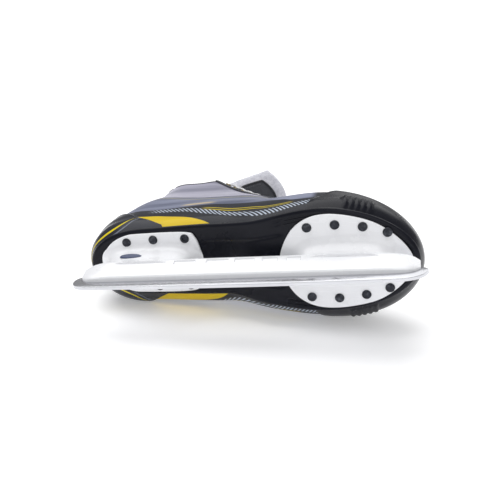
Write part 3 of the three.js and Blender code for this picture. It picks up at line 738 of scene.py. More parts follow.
@dataclass(frozen=True)
class Weave:
    """Woven cloth on the piece's own grid: threads over and under, with a soft fuzz."""

    name: str
    dark: tuple[float, float, float]
    light: tuple[float, float, float]
    across: float
    along: float
    roughness: float = 0.85

    def build(self) -> bpy.types.Material:
        """The material."""
        graph = Graph(self.name)
        u, v, _ = graph.parts(graph.lay())
        lean = graph.math("ABSOLUTE", graph.math("FRACT", u) - 0.5) * 1.2
        warp = graph.math("SINE", (v * self.along + lean * 2.0) * (2 * math.pi))
        weft = graph.math("SINE", u * (self.across * 2 * math.pi))
        knit = graph.spread(warp * 0.5 + weft * 0.35, 0.5, 1.0)
        fuzz = graph.noise(graph.object_place(), 900, 4)
        color = graph.blend(graph.step(knit + fuzz * 0.4, 0.45, 1.25), self.dark, self.light)
        graph.bump(knit + fuzz * 0.5, 0.5, 0.0004)
        return graph.finish(color, graph.spread(fuzz, self.roughness - 0.1, self.roughness + 0.1),
                            sheen_weight=0.3, sheen_roughness=0.5)


@dataclass(frozen=True)
class Felt:
    """Thick felt: matted fibres in two directions, pilled and slightly mottled."""

    name: str
    dark: tuple[float, float, float]
    light: tuple[float, float, float]
    fibre: float = 900

    def build(self) -> bpy.types.Material:
        """The material."""
        graph = Graph(self.name)
        where = graph.object_place()
        first = graph.noise(graph.stretched(where, (1.0, 0.25, 1.0)), self.fibre, 5, 0.7)
        second = graph.noise(graph.stretched(where, (0.25, 1.0, 0.4)), self.fibre, 5, 0.7)
        pill = graph.noise(where, 160, 3)
        height = first * 0.5 + second * 0.5 + pill * 0.6
        color = graph.blend(graph.step(height, 0.5, 1.05), self.dark, self.light)
        graph.bump(height, 0.55, 0.0008)
        return graph.finish(color, graph.spread(pill, 0.85, 1.0), sheen_weight=0.5, sheen_roughness=0.6)


@dataclass(frozen=True)
class GrainedVinyl:
    """Synthetic leather: a cell grain with creases and rubbed high points."""

    name: str
    dark: tuple[float, float, float]
    light: tuple[float, float, float]
    roughness: float = 0.42

    def build(self) -> bpy.types.Material:
        """The material."""
        graph = Graph(self.name)
        where = graph.object_place()
        cells = graph.node("ShaderNodeTexVoronoi", {"feature": "DISTANCE_TO_EDGE"}, {"Vector": where, "Scale": 750})
        grain = graph.step(Value(graph, cells.outputs["Distance"]), 0.0, 0.12)
        cloud = graph.noise(where, 40, 4)
        color = graph.blend(grain * 0.5 + cloud * 0.5, self.dark, self.light)
        graph.bump(grain + cloud * 0.3, 0.35, 0.0003)
        return graph.finish(color, graph.spread(cloud, self.roughness - 0.08, self.roughness + 0.15))


@dataclass(frozen=True)
class PunchedFoam:
    """Closed-cell foam with a printed cloth top and rows of breathing holes, pressed in by the bump and painted near
    black as shade.
    """

    name: str = "footbed_foam"

    def build(self) -> bpy.types.Material:
        """The material."""
        graph = Graph(self.name)
        x, y, _z = graph.upright()
        row = graph.math("ABSOLUTE", graph.math("FRACT", x * 125) - 0.5)
        column = graph.math("ABSOLUTE", graph.math("FRACT", y * 125) - 0.5)
        hole = graph.step(row * row + column * column, 0.035, 0.022)
        fuzz = graph.noise(graph.object_place(), 700, 4)
        cloth = graph.blend(fuzz, (0.035, 0.038, 0.046), (0.09, 0.095, 0.11))
        # The holes are painted near black: painted shade inside them, not a colour of the foam.
        color = graph.blend(hole, cloth, (0.006, 0.006, 0.007))
        graph.bump(fuzz * 0.5 - hole, 0.5, 0.0006)
        return graph.finish(color, graph.spread(fuzz, 0.8, 1.0), sheen_weight=0.2)


@dataclass(frozen=True)
class PressedBoard:
    """Pressed fibre board: flecks and a rough tooth."""

    name: str = "insole_board_fibre"

    def build(self) -> bpy.types.Material:
        """The material."""
        graph = Graph(self.name)
        where = graph.object_place()
        fleck = graph.step(graph.noise(graph.stretched(where, (1, 0.3, 1)), 600, 4), 0.5, 0.7)
        cloud = graph.noise(where, 30, 4)
        color = graph.blend(fleck * 0.6 + cloud * 0.3, (0.34, 0.27, 0.18), (0.16, 0.12, 0.08))
        graph.bump(fleck + cloud, 0.3, 0.0004)
        return graph.finish(color, graph.spread(cloud, 0.7, 0.95))


@dataclass(frozen=True)
class PrintedShell:
    """The boot's printed shell: coloured fields, a hatched band and fine piping over a carbon weave.

    Each curve gives heights above the ice against places along the skate, in millimetres. They part the
    side, from the sole upwards, into a yellow wedge, black, a hatched band, piping, a pale blue panel and a
    silver collar.
    """

    name: str
    wedge: tuple[tuple[float, float], ...]
    band: tuple[tuple[float, float], ...]
    band_width: float
    piping: tuple[tuple[float, float], ...]
    panel: tuple[tuple[float, float], ...]
    line: tuple[tuple[float, float], ...]
    wedge_rear: float = -35.0
    wedge_slant: float = -0.9

    def build(self) -> bpy.types.Material:
        """The material."""
        graph = Graph(self.name)
        metres = graph.upright()
        x, _y, z = (part * 1000.0 for part in metres)
        where = graph.object_place()
        cloud = graph.noise(where, 25, 5)
        soft = 0.3

        twill = graph.math("SINE", (x + z) * 3.4) * graph.math("SINE", (x - z) * 3.4)
        carbon = graph.blend(graph.step(twill, -0.4, 0.6), INK, (0.030, 0.032, 0.043))

        def over(curve: tuple[tuple[float, float], ...]) -> Value:
            return z - graph.profile(x, curve)

        def stripe(height: Value, middle: float, half: float) -> Value:
            return graph.step(graph.math("ABSOLUTE", height - middle), half + 0.25, half - 0.25)

        above_band, above_panel, above_line = over(self.band), over(self.panel), over(self.line)
        hatch = graph.step(graph.math("SINE", (x * 0.80 + z * 0.6) * 2.35), 0.0, 0.45)
        in_band = stripe(above_band, 0.0, self.band_width / 2) * graph.step(x, 59, 54) * graph.step(x, -104, -90)
        color = graph.blend(in_band * hatch, carbon, (0.50, 0.56, 0.66))

        rear = graph.step(x - z * self.wedge_slant, self.wedge_rear - soft, self.wedge_rear + soft)
        wedge = graph.step(over(self.wedge), soft, -soft) * rear
        color = graph.blend(wedge, color, graph.blend(cloud, YELLOW, (0.70, 0.44, 0.008)))

        fade = graph.step(graph.noise(graph.stretched(where, (3, 40, 40)), 1.0, 2), 0.3, 0.7)
        blue = graph.blend(fade, (0.07, 0.08, 0.13), (0.26, 0.28, 0.38))
        gold = stripe(above_panel, 7.0, 3.0) * graph.step(x, -76, -66) * graph.step(x, -38, -48)
        blue = graph.blend(gold * 0.8, blue, (0.62, 0.50, 0.30))
        in_panel = graph.step(above_panel, -soft, soft) * graph.step(above_line, soft, -soft) * graph.step(x, 57, 50)
        color = graph.blend(in_panel, color, blue)

        silver = graph.blend(fade, (0.20, 0.20, 0.27), (0.44, 0.43, 0.53))
        color = graph.blend(graph.step(above_line, 0.0, 0.6), color, silver)
        color = graph.blend(stripe(above_line, 0.6, 1.2), color, INK)
        color = graph.blend(stripe(above_line, -5.5, 0.8), color, (0.34, 0.30, 0.10))

        pipes = over(self.piping)
        reach = graph.step(x, 38, 32) * graph.step(x, -52, -44)
        yellow_lines = (stripe(pipes, 0.0, 0.55) + stripe(pipes, 3.2, 0.55)) * reach
        color = graph.blend(yellow_lines, color, (0.62, 0.48, 0.02))

        grain = graph.noise(where, 1500, 3)
        raised = wedge * 0.6 + in_panel * 0.8 + in_band * hatch * 0.4 + yellow_lines * 0.5
        graph.bump(raised + grain * 0.25 + twill * 0.1, 0.25, 0.0004)
        rough = graph.spread(cloud, 0.24, 0.42) + in_panel * 0.1 + grain * 0.05
        graph.set("Specular IOR Level", DARK_SPECULAR)
        return graph.finish(color, rough, coat_weight=0.05, coat_roughness=0.1)


@dataclass(frozen=True)
class CounterShell:
    """Black moulded heel shell with a thin yellow streak above its rim."""

    name: str = "heel_counter_shell"

    def build(self) -> bpy.types.Material:
        """The material."""
        graph = Graph(self.name)
        x, _y, z = (part * 1000.0 for part in graph.upright())
        where = graph.object_place()
        haze = graph.noise(where, 20, 5)
        streak = z - graph.profile(x, ((-160, 80), (-146, 73), (-132, 72), (-120, 75), (-108, 84), (-96, 100)))
        width = graph.profile(x, ((-160, 0.2), (-146, 0.6), (-130, 1.1), (-118, 0.8), (-108, 0.1)))
        inside = graph.step(graph.math("ABSOLUTE", streak) - width, 0.3, -0.3) * graph.step(x, -98, -104)
        silver = graph.step(graph.math("ABSOLUTE", streak + 6.0), 1.1, 0.6) * graph.step(x, -96, -104)
        color = graph.blend(haze, (0.009, 0.010, 0.015), (0.034, 0.037, 0.05))
        color = graph.blend(silver * 0.5, color, (0.30, 0.33, 0.42))
        color = graph.blend(inside, color, YELLOW)
        graph.bump(inside * 0.8 + silver * 0.5 + graph.noise(where, 1500, 2) * 0.2, 0.25, 0.0004)
        graph.set("Specular IOR Level", DARK_SPECULAR)
        return graph.finish(color, graph.spread(haze, 0.18, 0.36), coat_weight=0.06, coat_roughness=0.1)


# ---------------------------------------------------------------- fittings under the sole


def riding(thing: bpy.types.Object, slot: str, *nodes: str) -> bpy.types.Object:
    """Sets a piece on the boot and hides the frame's nodes that it stands for."""
    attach(thing, ROOT)
    if nodes:
        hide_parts(*nodes)
    log.info("%s: %d faces", thing.name, len(thing.data.polygons))
    return thing


@dataclass
class Runner:
    """The steel blade."""

    half_length: float = 146
    thickness: float = 3
    height: float = 26
    rocker_radius: float = 3000
    edge: float = 0.28

    def profile(self) -> list[tuple[float, float]]:
        """The blade's outline in x and z."""
        points = []
        foot = (self.half_length - 14) ** 2 / (2 * self.rocker_radius)

        def bend(start: tuple, control: tuple, end: tuple, steps: int = 10) -> None:
            for step in range(steps):
                t = step / steps
                points.append(tuple((1 - t) ** 2 * a + 2 * t * (1 - t) * b + t * t * c
                                    for a, b, c in zip(start, control, end)))

        end = self.half_length
        bend((-end, 17), (-end, 4), (-end + 14, foot))
        for step in range(29):
            x = mix(-end + 14, end - 24, step / 28)
            points.append((x, x * x / (2 * self.rocker_radius)))
        bend((end - 23, points[-1][1] + 0.01), (end - 4, 4), (end, 19))
        bend((end, 19), (end, self.height), (end - 10, self.height))
        points.append((end - 10, self.height))
        bend((-end + 10, self.height), (-end, self.height), (-end, 17))
        return points

    def build(self, steel: bpy.types.Material) -> None:
        """Makes the blade."""
        mesh = bmesh.new()
        corners = [mesh.verts.new((x, -self.thickness / 2, z)) for x, z in self.profile()]
        face = mesh.faces.new(corners)
        made = bmesh.ops.extrude_face_region(mesh, geom=[face], use_keep_orig=True)
        fresh = [part for part in made["geom"] if isinstance(part, bmesh.types.BMVert)]
        bmesh.ops.translate(mesh, verts=fresh, vec=(0, self.thickness, 0))
        bevel_sharp(mesh, self.edge, segments=2, angle=60)
        riding(finished("runner_blade", mesh, steel, crease=30), "runner_steel", "runner")


@dataclass
class Holder:
    """The white holder: a slotted beam, two hollow-flanked posts and two plates."""

    beam_half_width: float = 11.5
    beam_foot: float = 5.0
    beam_top: float = 36.0
    recess: float = 0.9
    dash_rim: float = 0.7
    dash_rows: tuple[float, float] = (24.5, 30.94)
    dashes: tuple[tuple[float, float], ...] = ((-61, -42), (-33, -14), (-9, 8), (14, 27), (34, 46))
    toe_plate: tuple[tuple[float, float], ...] = (
        (25, 0), (28, 14), (37, 29), (50, 38), (66, 41), (86, 39), (106, 33), (122, 22), (132, 10), (135, 0))
    heel_plate: tuple[tuple[float, float], ...] = (
        (-135, 0), (-133, 11), (-125, 20), (-113, 25.5), (-100, 27), (-58, 27), (-49, 22), (-45, 9), (-44, 0))

    def beam(self) -> bmesh.types.BMesh:
        """The beam over the blade, with the shallow dashes in its flanks."""
        even = (mix(-140, 140, i / 70) for i in range(71))
        stations = sorted({*even, *(x for dash in self.dashes for x in dash)})
        low = ((-140, 20), (-136, 15.5), (-128, 13.2), (-120, 13), (116, 13), (128, 14), (136, 17), (140, 21.5))
        top = ((-140, 31), (-136, 34.5), (-130, 36), (131, 36), (136, 34.5), (140, 30))
        slim = ((-140, 0.55), (-132, 0.82), (-118, 1), (112, 1), (130, 0.8), (140, 0.5))
        section = [(0, 0), (0.40, 0), (0.50, 0.04), (0.62, 0.22), (0.70, 0.36), (0.84, 0.60), (0.97, 0.80),
                   (1.0, 0.88), (0.95, 0.96), (0.86, 1.0), (0, 1.0)]
        ring = section[1:-1] + [(-y, z) for y, z in reversed(section[1:-1])]
        sheet = Sheet(len(ring), len(stations) - 1)

        def place(u: float, v: float, _depth: float) -> Vector:
            across, up = ring[round(u * len(ring)) % len(ring)]
            x = stations[round(v * (len(stations) - 1))]
            bottom, roof = curve_at(low, x), curve_at(top, x)
            return Vector((x, across * self.beam_half_width * curve_at(slim, x), mix(bottom, roof, up)))

        mesh = sheet.wrap(place, layers=0).cap().mesh
        for start, end in self.dashes:
            for side in Side:
                faces = []
                for face in mesh.faces:
                    centre = face.calc_center_median()
                    level = self.dash_rows[0] < centre.z < self.dash_rows[1]
                    if start < centre.x < end and level and centre.y * side.value > 3:
                        faces.append(face)
                bmesh.ops.inset_region(mesh, faces=faces, thickness=self.dash_rim, depth=-self.recess,
                                       use_even_offset=True)
        return mesh

    def post(self, middle: float, roof: float, top: tuple[float, float],
             foot: tuple[float, float]) -> bmesh.types.BMesh:
        """A post whose hollow flanks flare into its plate and into the beam."""
        floor = self.beam_top - 6

        def place(u: float, v: float, _depth: float) -> Vector:
            flare = v ** 1.8
            lip = max(0.0, (v - 0.74) / 0.26) ** 2.6 * 4.5
            root = max(0.0, (0.45 - v) / 0.45) ** 2 * 2.5
            length, width = (mix(a, b, flare) + lip + root for a, b in zip(foot, top))
            turn = 2 * math.pi * u
            round_off = 0.62

            def power(value: float) -> float:
                return math.copysign(abs(value) ** round_off, value)

            return Vector((middle + (length - root) * power(math.cos(turn)), width * power(math.sin(turn)),
                           mix(floor, roof, v)))

        return Sheet(72, 20).wrap(place, layers=0).cap().mesh

    def plate(self, half: Sequence[tuple[float, float]], top: float) -> bmesh.types.BMesh:
        """One riveted plate with a rounded rim."""
        upper = [Vector((x, spread + SKIN.middle(0, x), 0)) for x, spread in half]
        lower = [Vector((x, SKIN.middle(0, x) - spread, 0)) for x, spread in reversed(half[1:-1])]
        loop = upper + lower
        count = len(loop)
        mesh = bmesh.new()
        rim = []
        for step in range(count * 6):
            low, t = divmod(step / 6, 1)
            a, b, c, d = (loop[(int(low) + k) % count] for k in (-1, 0, 1, 2))
            rim.append(mesh.verts.new(0.5 * (2 * b + (c - a) * t + (2 * a - 5 * b + 4 * c - d) * t * t
                                             + (3 * b - a - 3 * c + d) * t ** 3)))
        face = mesh.faces.new(rim)
        made = bmesh.ops.extrude_face_region(mesh, geom=[face], use_keep_orig=True)
        fresh = [part for part in made["geom"] if isinstance(part, bmesh.types.BMVert)]
        bmesh.ops.translate(mesh, verts=fresh, vec=(0, 0, -PLATE_THICKNESS))
        bmesh.ops.translate(mesh, verts=mesh.verts, vec=(0, 0, top))
        bevel_sharp(mesh, 0.9, segments=3, angle=60)
        return mesh

    def build(self, plastic: bpy.types.Material, inlay: bpy.types.Material) -> None:
        """Makes the holder as one closed body, and the badge on its rear post."""
        toe_roof, heel_roof = PLATE_TOP_TOE - PLATE_THICKNESS, PLATE_TOP_HEEL - PLATE_THICKNESS
        parts = [self.beam(), self.post(80, toe_roof + 0.6, (43, 21), (36, 10.5)),
                 self.post(-90, heel_roof + 0.6, (42, 15.5), (33, 10)),
                 self.plate(self.toe_plate, PLATE_TOP_TOE), self.plate(self.heel_plate, PLATE_TOP_HEEL)]
        things = [finished(f"holder_part_{i}", mesh, plastic) for i, mesh in enumerate(parts)]
        body = things[0]
        for other in things[1:]:
            union = body.modifiers.new("union", "BOOLEAN")
            union.operation, union.solver, union.object = "UNION", "EXACT", other
            settle(body)
            bpy.data.objects.remove(other)
        body.data.polygons.foreach_set("use_smooth", [True] * len(body.data.polygons))
        body.data.set_sharp_from_angle(angle=math.radians(32))
        body.name = body.data.name = "holder_body"
        riding(body, "holder_plastic", "holder")
        self.badge(inlay)

    def badge(self, inlay: bpy.types.Material) -> None:
        """A plain oval inlay on the rear post's outer flank."""
        centre, along, up = Vector((-104, -12.15, 45.5)), Vector((1, 0, 0)), Vector((0, -0.30, 0.954))
        out = along.cross(up).normalized()

        def place(u: float, v: float, _depth: float) -> Vector:
            turn, reach = 2 * math.pi * u, 1 - v
            crown = 0.55 * math.sqrt(clamp(1 - reach ** 4)) if v > 0 else -0.6
            return (centre + along * (10.0 * reach * math.cos(turn)) + up * (3.0 * reach * math.sin(turn))
                    + out * crown)

        mesh = Sheet(40, 8).wrap(place, layers=0).cap().mesh
        riding(finished("holder_badge", mesh, inlay), "holder_plastic")


def settle(thing: bpy.types.Object) -> None:
    """Applies a piece's live modifiers to its mesh."""
    graph = bpy.context.evaluated_depsgraph_get()
    graph.update()
    solid = bpy.data.meshes.new_from_object(thing.evaluated_get(graph), depsgraph=graph)
    thing.modifiers.clear()
    thing.data = solid


@dataclass
class Rivets:
    """The sole rivets' domed heads, with their shanks and clinched ends."""

    toe: tuple[tuple[float, float], ...] = ((50, 30.5), (73, 32), (95.5, 29.5), (115, 24))
    heel: tuple[tuple[float, float], ...] = ((-111, 20), (-86.5, 21.5), (-58, 21.5))
    radius: float = 4.0
    stack: float = 6.9
    hollow_eye: tuple[tuple[float, float], ...] = ((0, -0.2), (1.5, -0.2), (1.9, -1.15))
    solid_eye: tuple[tuple[float, float], ...] = ((0, -1.42), (0.5, -1.42), (0.8, -1.52), (2.0, -1.45))

    def one(self, x: float, y: float, plate_top: float, hollow: bool) -> bmesh.types.BMesh:
        """One rivet."""
        under = plate_top - PLATE_THICKNESS - 0.25
        over = plate_top + self.stack
        eye = self.hollow_eye if hollow else self.solid_eye
        profile = [*eye, (2.9, -1.25), (3.6, -0.85), (3.95, -0.35), (4.0, 0.0), (1.7, 0.02)]
        points = [(r * self.radius / 4, under + z) for r, z in profile]
        points += [(1.7, over), (2.6, over), (2.2, over + 0.7), (0, over + 1)]
        mesh = bmesh.new()
        verts = [mesh.verts.new((r, 0, z)) for r, z in points]
        edges = [mesh.edges.new(pair) for pair in zip(verts, verts[1:])]
        bmesh.ops.spin(mesh, geom=[*verts, *edges], cent=(0, 0, 0), axis=(0, 0, 1), angle=2 * math.pi, steps=28,
                       use_merge=True)
        bmesh.ops.remove_doubles(mesh, verts=mesh.verts, dist=0.002)
        bmesh.ops.translate(mesh, verts=mesh.verts, vec=(x, y, 0))
        return mesh

    def build(self, metal: bpy.types.Material) -> None:
        """Makes every rivet as its own piece."""
        for group, rows, top in (("toe", self.toe, PLATE_TOP_TOE), ("heel", self.heel, PLATE_TOP_HEEL)):
            for row, (x, spread) in enumerate(rows, 1):
                for side in Side:
                    name = f"rivet_{group}_{side.label}_{row}"
                    hollow = (group, row, side) == ("heel", 3, Side.OUTER)
                    mesh = self.one(x, side.value * spread, top, hollow)
                    riding(finished(f"{name}_domed", mesh, metal, crease=50), "rivet_steel", name)


@dataclass
class Sole:
    """The outsole, with its rim ledges at the toe and its recessed arch."""

    lip: float = 1.5
    bottom: float = -3.7
    top: float = -0.3
    recess: float = 1.7

    def build(self, composite: bpy.types.Material) -> None:
        """Makes the outsole as one closed body."""
        rim = [(6.0, self.top, 0), (2.0, self.top, 0), (-self.lip + 0.5, self.top, 0), (-self.lip, self.top - 0.5, 0),
               (-self.lip, self.bottom + 2.0, 0), (-self.lip + 0.35, self.bottom + 1.1, 0),
               (0.3, self.bottom + 0.25, 0), (1.0, self.bottom, 0), (3.0, self.bottom, 0), (3.3, self.bottom, 0.7),
               (4.6, self.bottom, 0.7), (4.9, self.bottom, 0), (6.2, self.bottom, 0), (6.5, self.bottom, 0.7),
               (7.6, self.bottom, 0.7), (7.9, self.bottom, 0)]
        inner_top, inner_bottom = 8, 22
        rows = inner_top + len(rim) + inner_bottom - 1

        def place(u: float, v: float, _depth: float) -> Vector:
            row = round(v * rows)
            turn = 2 * u - 1
            if row < inner_top:
                inset, height, groove, share = rim[0][0], self.top, 0.0, row / inner_top
            elif row < inner_top + len(rim):
                inset, height, groove = rim[row - inner_top]
                share = 1.0
            else:
                inset, height, groove = rim[-1][0], self.bottom, 0.0
                share = 1 - (row - inner_top - len(rim) + 1) / inner_bottom
            x, half = SKIN.outline(0, abs(turn), inset)
            at_toe = smooth((x - 15) / 30)
            arch = smooth((x + 46) / 6) * smooth((30 - x) / 6) if row >= inner_top + len(rim) else 0.0
            sunk = arch * smooth((0.80 - share) / 0.12)
            y = math.copysign(1, turn) * half * share + SKIN.middle(0, x)
            return Vector((x, y, SKIN.above(height, x) + groove * at_toe + self.recess * sunk))

        mesh = Sheet(260, rows).wrap(place, layers=0).mesh
        riding(finished("outsole_shell", mesh, composite, crease=40), "black_composite", "outsole")


@dataclass
class Bed:
    """The removable footbed: a cupped foam pad."""

    bottom: float = 4.5
    thickness: float = 4.0

    def build(self, foam: bpy.types.Material) -> None:
        """Makes the footbed."""
        def place(u: float, v: float, depth: float) -> Vector:
            along, across = mix(0.015, 0.985, u), 2 * v - 1
            inset = mix(6.4 + 1.0, 6.4 - 3.0, depth) + 0.8 + 1.2 * (2 * depth - 1) ** 2
            x, half = SKIN.outline(0, along, inset)
            arch = smooth((x + 20) / 60) * smooth((90 - x) / 40) * (1 - across ** 2)
            cup = 0.5 * across ** 4 * depth - 0.5 * arch * depth
            y = across * half + SKIN.middle(0, x)
            return Vector((x, y, SKIN.above(self.bottom + depth * self.thickness, x) + cup))

        mesh = Sheet(90, 26).wrap(place, layers=4).mesh
        thing = finished("footbed_pad", mesh, foam)
        swell(thing, 0.0045, 0.0008)
        riding(thing, "foam", "footbed")


CLOTH_QUALITY = 4
CLOTH_MASS = 0.15
CLOTH_FRAMES = 20
CLOTH_NEIGHBOURS = 4


def swell(thing: bpy.types.Object, voxel: float, cap: float, pressure: float = 4.0) -> None:
    """Puffs a padded piece by a short cloth simulation, and moves its own mesh by what the cloth did.

    A coarse remeshed copy is simulated. Each vertex of the piece then follows the copy's nearest vertices,
    capped, so that the piece keeps its grid and its seams.

    Args:
        thing: The piece, in the frame's metres.
        voxel: Size of the copy's cells.
        cap: The furthest that a point may move.
        pressure: The pressure inside.
    """
    copy = thing.copy()
    copy.data = thing.data.copy()
    bpy.context.scene.collection.objects.link(copy)
    remesh = copy.modifiers.new("cells", "REMESH")
    remesh.mode, remesh.voxel_size = "VOXEL", voxel
    settle(copy)
    start = [vertex.co.copy() for vertex in copy.data.vertices]
    cloth = copy.modifiers.new("cloth", "CLOTH")
    cloth.settings.quality = CLOTH_QUALITY
    cloth.settings.mass = CLOTH_MASS
    cloth.settings.use_pressure = True
    cloth.settings.uniform_pressure_force = pressure
    cloth.settings.effector_weights.gravity = 0
    cloth.point_cache.frame_start, cloth.point_cache.frame_end = 1, CLOTH_FRAMES
    for step in range(1, CLOTH_FRAMES + 1):
        bpy.context.scene.frame_set(step)
    settle(copy)
    tree = KDTree(len(start))
    for index, point in enumerate(start):
        tree.insert(point, index)
    tree.balance()
    for vertex in thing.data.vertices:
        near = tree.find_n(vertex.co, CLOTH_NEIGHBOURS)
        weights = [1 / (distance + voxel * 0.3) for _, _, distance in near]
        push = sum(((copy.data.vertices[index].co - start[index]) * weight
                    for (_, index, _), weight in zip(near, weights)), Vector()) / sum(weights)
        if push.length > cap:
            push *= cap / push.length
        vertex.co += push
    bpy.data.objects.remove(copy)
    bpy.context.scene.frame_set(1)


# ---------------------------------------------------------------- the boot


@dataclass
class Quarter:
    """One printed side of the boot, from the heel to the toe cap and up to the collar."""

    side: Side
    columns: int = 84
    rows: int = 70
    throat_row: float = 0.3
    thickness: float = 2.3

    def place(self, u: float, v: float, depth: float) -> Vector:
        """A point of the shell."""
        limit = SKIN.behind_instep(THROAT_HEIGHT, FACING_SETBACK)
        corner = self.corner
        share = u / corner * limit if u <= corner else mix(limit, 0.9995, (u - corner) / (1 - corner))
        if v <= self.throat_row:
            height = v / self.throat_row * THROAT_HEIGHT
            along = share * seam_along(height)
        else:
            top = collar_height(u / corner)
            height = mix(THROAT_HEIGHT, top, (v - self.throat_row) / (1 - self.throat_row))
            along = min(1.0, share / limit) * SKIN.behind_instep(height, FACING_SETBACK)
        along = max(0.0015, along)
        return SKIN.point(height, along, self.side.value, QUARTER + depth * self.thickness)

    @property
    def corner(self) -> float:
        """The column at the throat's corner."""
        return round(0.89 * self.columns) / self.columns

    def build(self, printed: bpy.types.Material) -> None:
        """Makes the shell."""
        sheet = Sheet(self.columns, self.rows)
        sheet.trim(lambda u, v: u > self.corner and v > self.throat_row)
        mesh = sheet.wrap(self.place).mesh
        bevel_sharp(mesh, 0.5, segments=2, angle=55)
        label = self.side.label
        riding(finished(f"quarter_{label}_shell", mesh, printed, crease=45), "printed_shell", f"quarter_{label}")


@lru_cache(maxsize=None)
def collar_height(share: float) -> float:
    """The collar's height over the sole, at a share of the way from the back to the facing's edge."""
    along = min(1.0, share) * SKIN.behind_instep(181, FACING_SETBACK)
    return curve_at(COLLAR, SKIN.outline(181, along, 0)[0])


@lru_cache(maxsize=None)
def seam_along(height: float) -> float:
    """How far along the boot the shell ends under the toe cap, at a height over the sole."""
    seam = mix(104, 80, height / 78) - 4
    return 0.9995 if SKIN.front_end(height, QUARTER) <= seam else SKIN.along_of(height, seam, QUARTER)


@dataclass
class ToeCap:
    """The toe cap with its side wings and their moulded ribs."""

    columns: int = 240
    rows: int = 40
    top_height: float = 63.0
    thickness: float = 2.2
    rear: tuple[tuple[float, float], ...] = ((0, 50), (10, 51), (20, 57), (32, 66), (45, 73), (56, 79), (63, 84))
    rib_places: tuple[float, ...] = (81.5, 86.3, 91.1, 95.9, 100.7)
    rib_rise: float = 1.5

    def build(self, composite: bpy.types.Material) -> None:
        """Makes the cap."""
        def place(u: float, v: float, depth: float) -> Vector:
            height = self.top_height * (1 - (1 - v) ** 1.45)
            turn = 2 * u - 1
            rear_x = curve_at(self.rear, height)
            start = min(0.9995, SKIN.along_of(height, rear_x)) if SKIN.front_end(height, 0) > rear_x else 0.9995
            along = mix(start, 1.0, 1 - abs(turn))
            x, _half = SKIN.outline(height, along, 0)
            rib = max(1 - smooth(abs(x - middle) / 2.1 - 0.35) for middle in self.rib_places)
            window = smooth((height - 2.0) / 1.2) * smooth((17.5 - height) / 1.5)
            base = smooth((x - 77.5) / 1.2) * smooth((104.5 - x) / 1.2) * 0.8
            rise = (base + rib * self.rib_rise) * window
            inset = mix(-rise, self.thickness, depth)
            edge = smooth(min(abs(1 - abs(turn)), 0.03) / 0.03)
            return SKIN.point(height, along, math.copysign(1, turn), inset + (1 - edge) * 0.5 * (1 - depth))

        mesh = Sheet(self.columns, self.rows).wrap(place).mesh
        bevel_sharp(mesh, 0.35, segments=2, angle=70)
        riding(finished("toe_cap_shell", mesh, composite, crease=35), "black_composite", "toe_cap")


@dataclass
class HeelCounter:
    """The moulded heel shell."""

    columns: int = 110
    rows: int = 34
    front: float = -84
    crest: tuple[tuple[float, float], ...] = (
        (-160, 60), (-148, 59), (-134, 54), (-122, 44), (-113, 33), (-105, 22), (-97, 12), (-90, 6), (-84, 2.5))

    def top(self, along: float) -> float:
        """The shell's height over the sole, at a share of the skin's length."""
        return curve_at(self.crest, SKIN.outline(20, along, 0)[0])

    def build(self, shell: bpy.types.Material, thread: bpy.types.Material) -> None:
        """Makes the counter and its stitching."""
        reach = SKIN.along_of(10, self.front)

        def place(u: float, v: float, depth: float) -> Vector:
            turn = (2 * u - 1) * reach
            edge = smooth(min(1 - v, 0.05) / 0.05)
            return SKIN.around(v * self.top(abs(turn)), turn, OVERLAY + depth * 1.75 + (1 - edge) * 0.5 * (1 - depth))

        mesh = Sheet(self.columns, self.rows).wrap(place).mesh
        bevel_sharp(mesh, 0.3, segments=2, angle=60)
        riding(finished("heel_counter_shell", mesh, shell, crease=40), "black_shell", "heel_counter")

        def seam(share: float) -> Vector:
            turn = (2 * share - 1) * reach * 0.93
            return SKIN.around(self.top(abs(turn)) - 3.2, turn, -0.05)

        def out(share: float) -> Vector:
            turn = (2 * share - 1) * reach * 0.93
            return SKIN.outward(self.top(abs(turn)) - 3.2, turn)

        mesh = stitches(seam, out, 300)
        riding(finished("heel_counter_stitching", mesh, thread), "black_shell")


@dataclass
class Facings:
    """The eyelet bands along the throat, with their stitching."""

    side: Side
    low: float = 67
    high: float = 195.5

    def spot(self, v: float, setback: float, inset: float) -> Vector:
        """A point of the band."""
        height = mix(self.low, self.high, v)
        return SKIN.point(height, SKIN.behind_instep(height, setback), self.side.value, inset)

    def build(self, vinyl: bpy.types.Material, thread: bpy.types.Material) -> None:
        """Makes the band."""
        label = self.side.label

        def place(u: float, v: float, depth: float) -> Vector:
            edge = smooth(min(u, 1 - u, 0.1) / 0.1)
            setback = FACING_SETBACK + 0.3 + u * (FACING_WIDTH - 0.6)
            return self.spot(v, setback, depth * 1.75 + (1 - edge) * 0.45 * (1 - depth))

        mesh = Sheet(14, 80).wrap(place).mesh
        bevel_sharp(mesh, 0.35, segments=2, angle=60)
        riding(finished(f"facing_{label}_band", mesh, vinyl, crease=45), "printed_shell", f"facing_{label}")
        rows = []
        for offset in (2.2, FACING_WIDTH - 2.4, FACING_WIDTH - 4.6):
            setback = FACING_SETBACK + offset

            def seam(share: float, setback: float = setback) -> Vector:
                return self.spot(mix(0.02, 0.98, share), setback, -0.05)

            def out(share: float, setback: float = setback) -> Vector:
                height = mix(self.low, self.high, mix(0.02, 0.98, share))
                return SKIN.outward(height, SKIN.behind_instep(height, setback) * self.side.value)

            rows.append(stitches(seam, out, 168))
        riding(finished(f"facing_{label}_stitching", joined(rows), thread), "printed_shell")


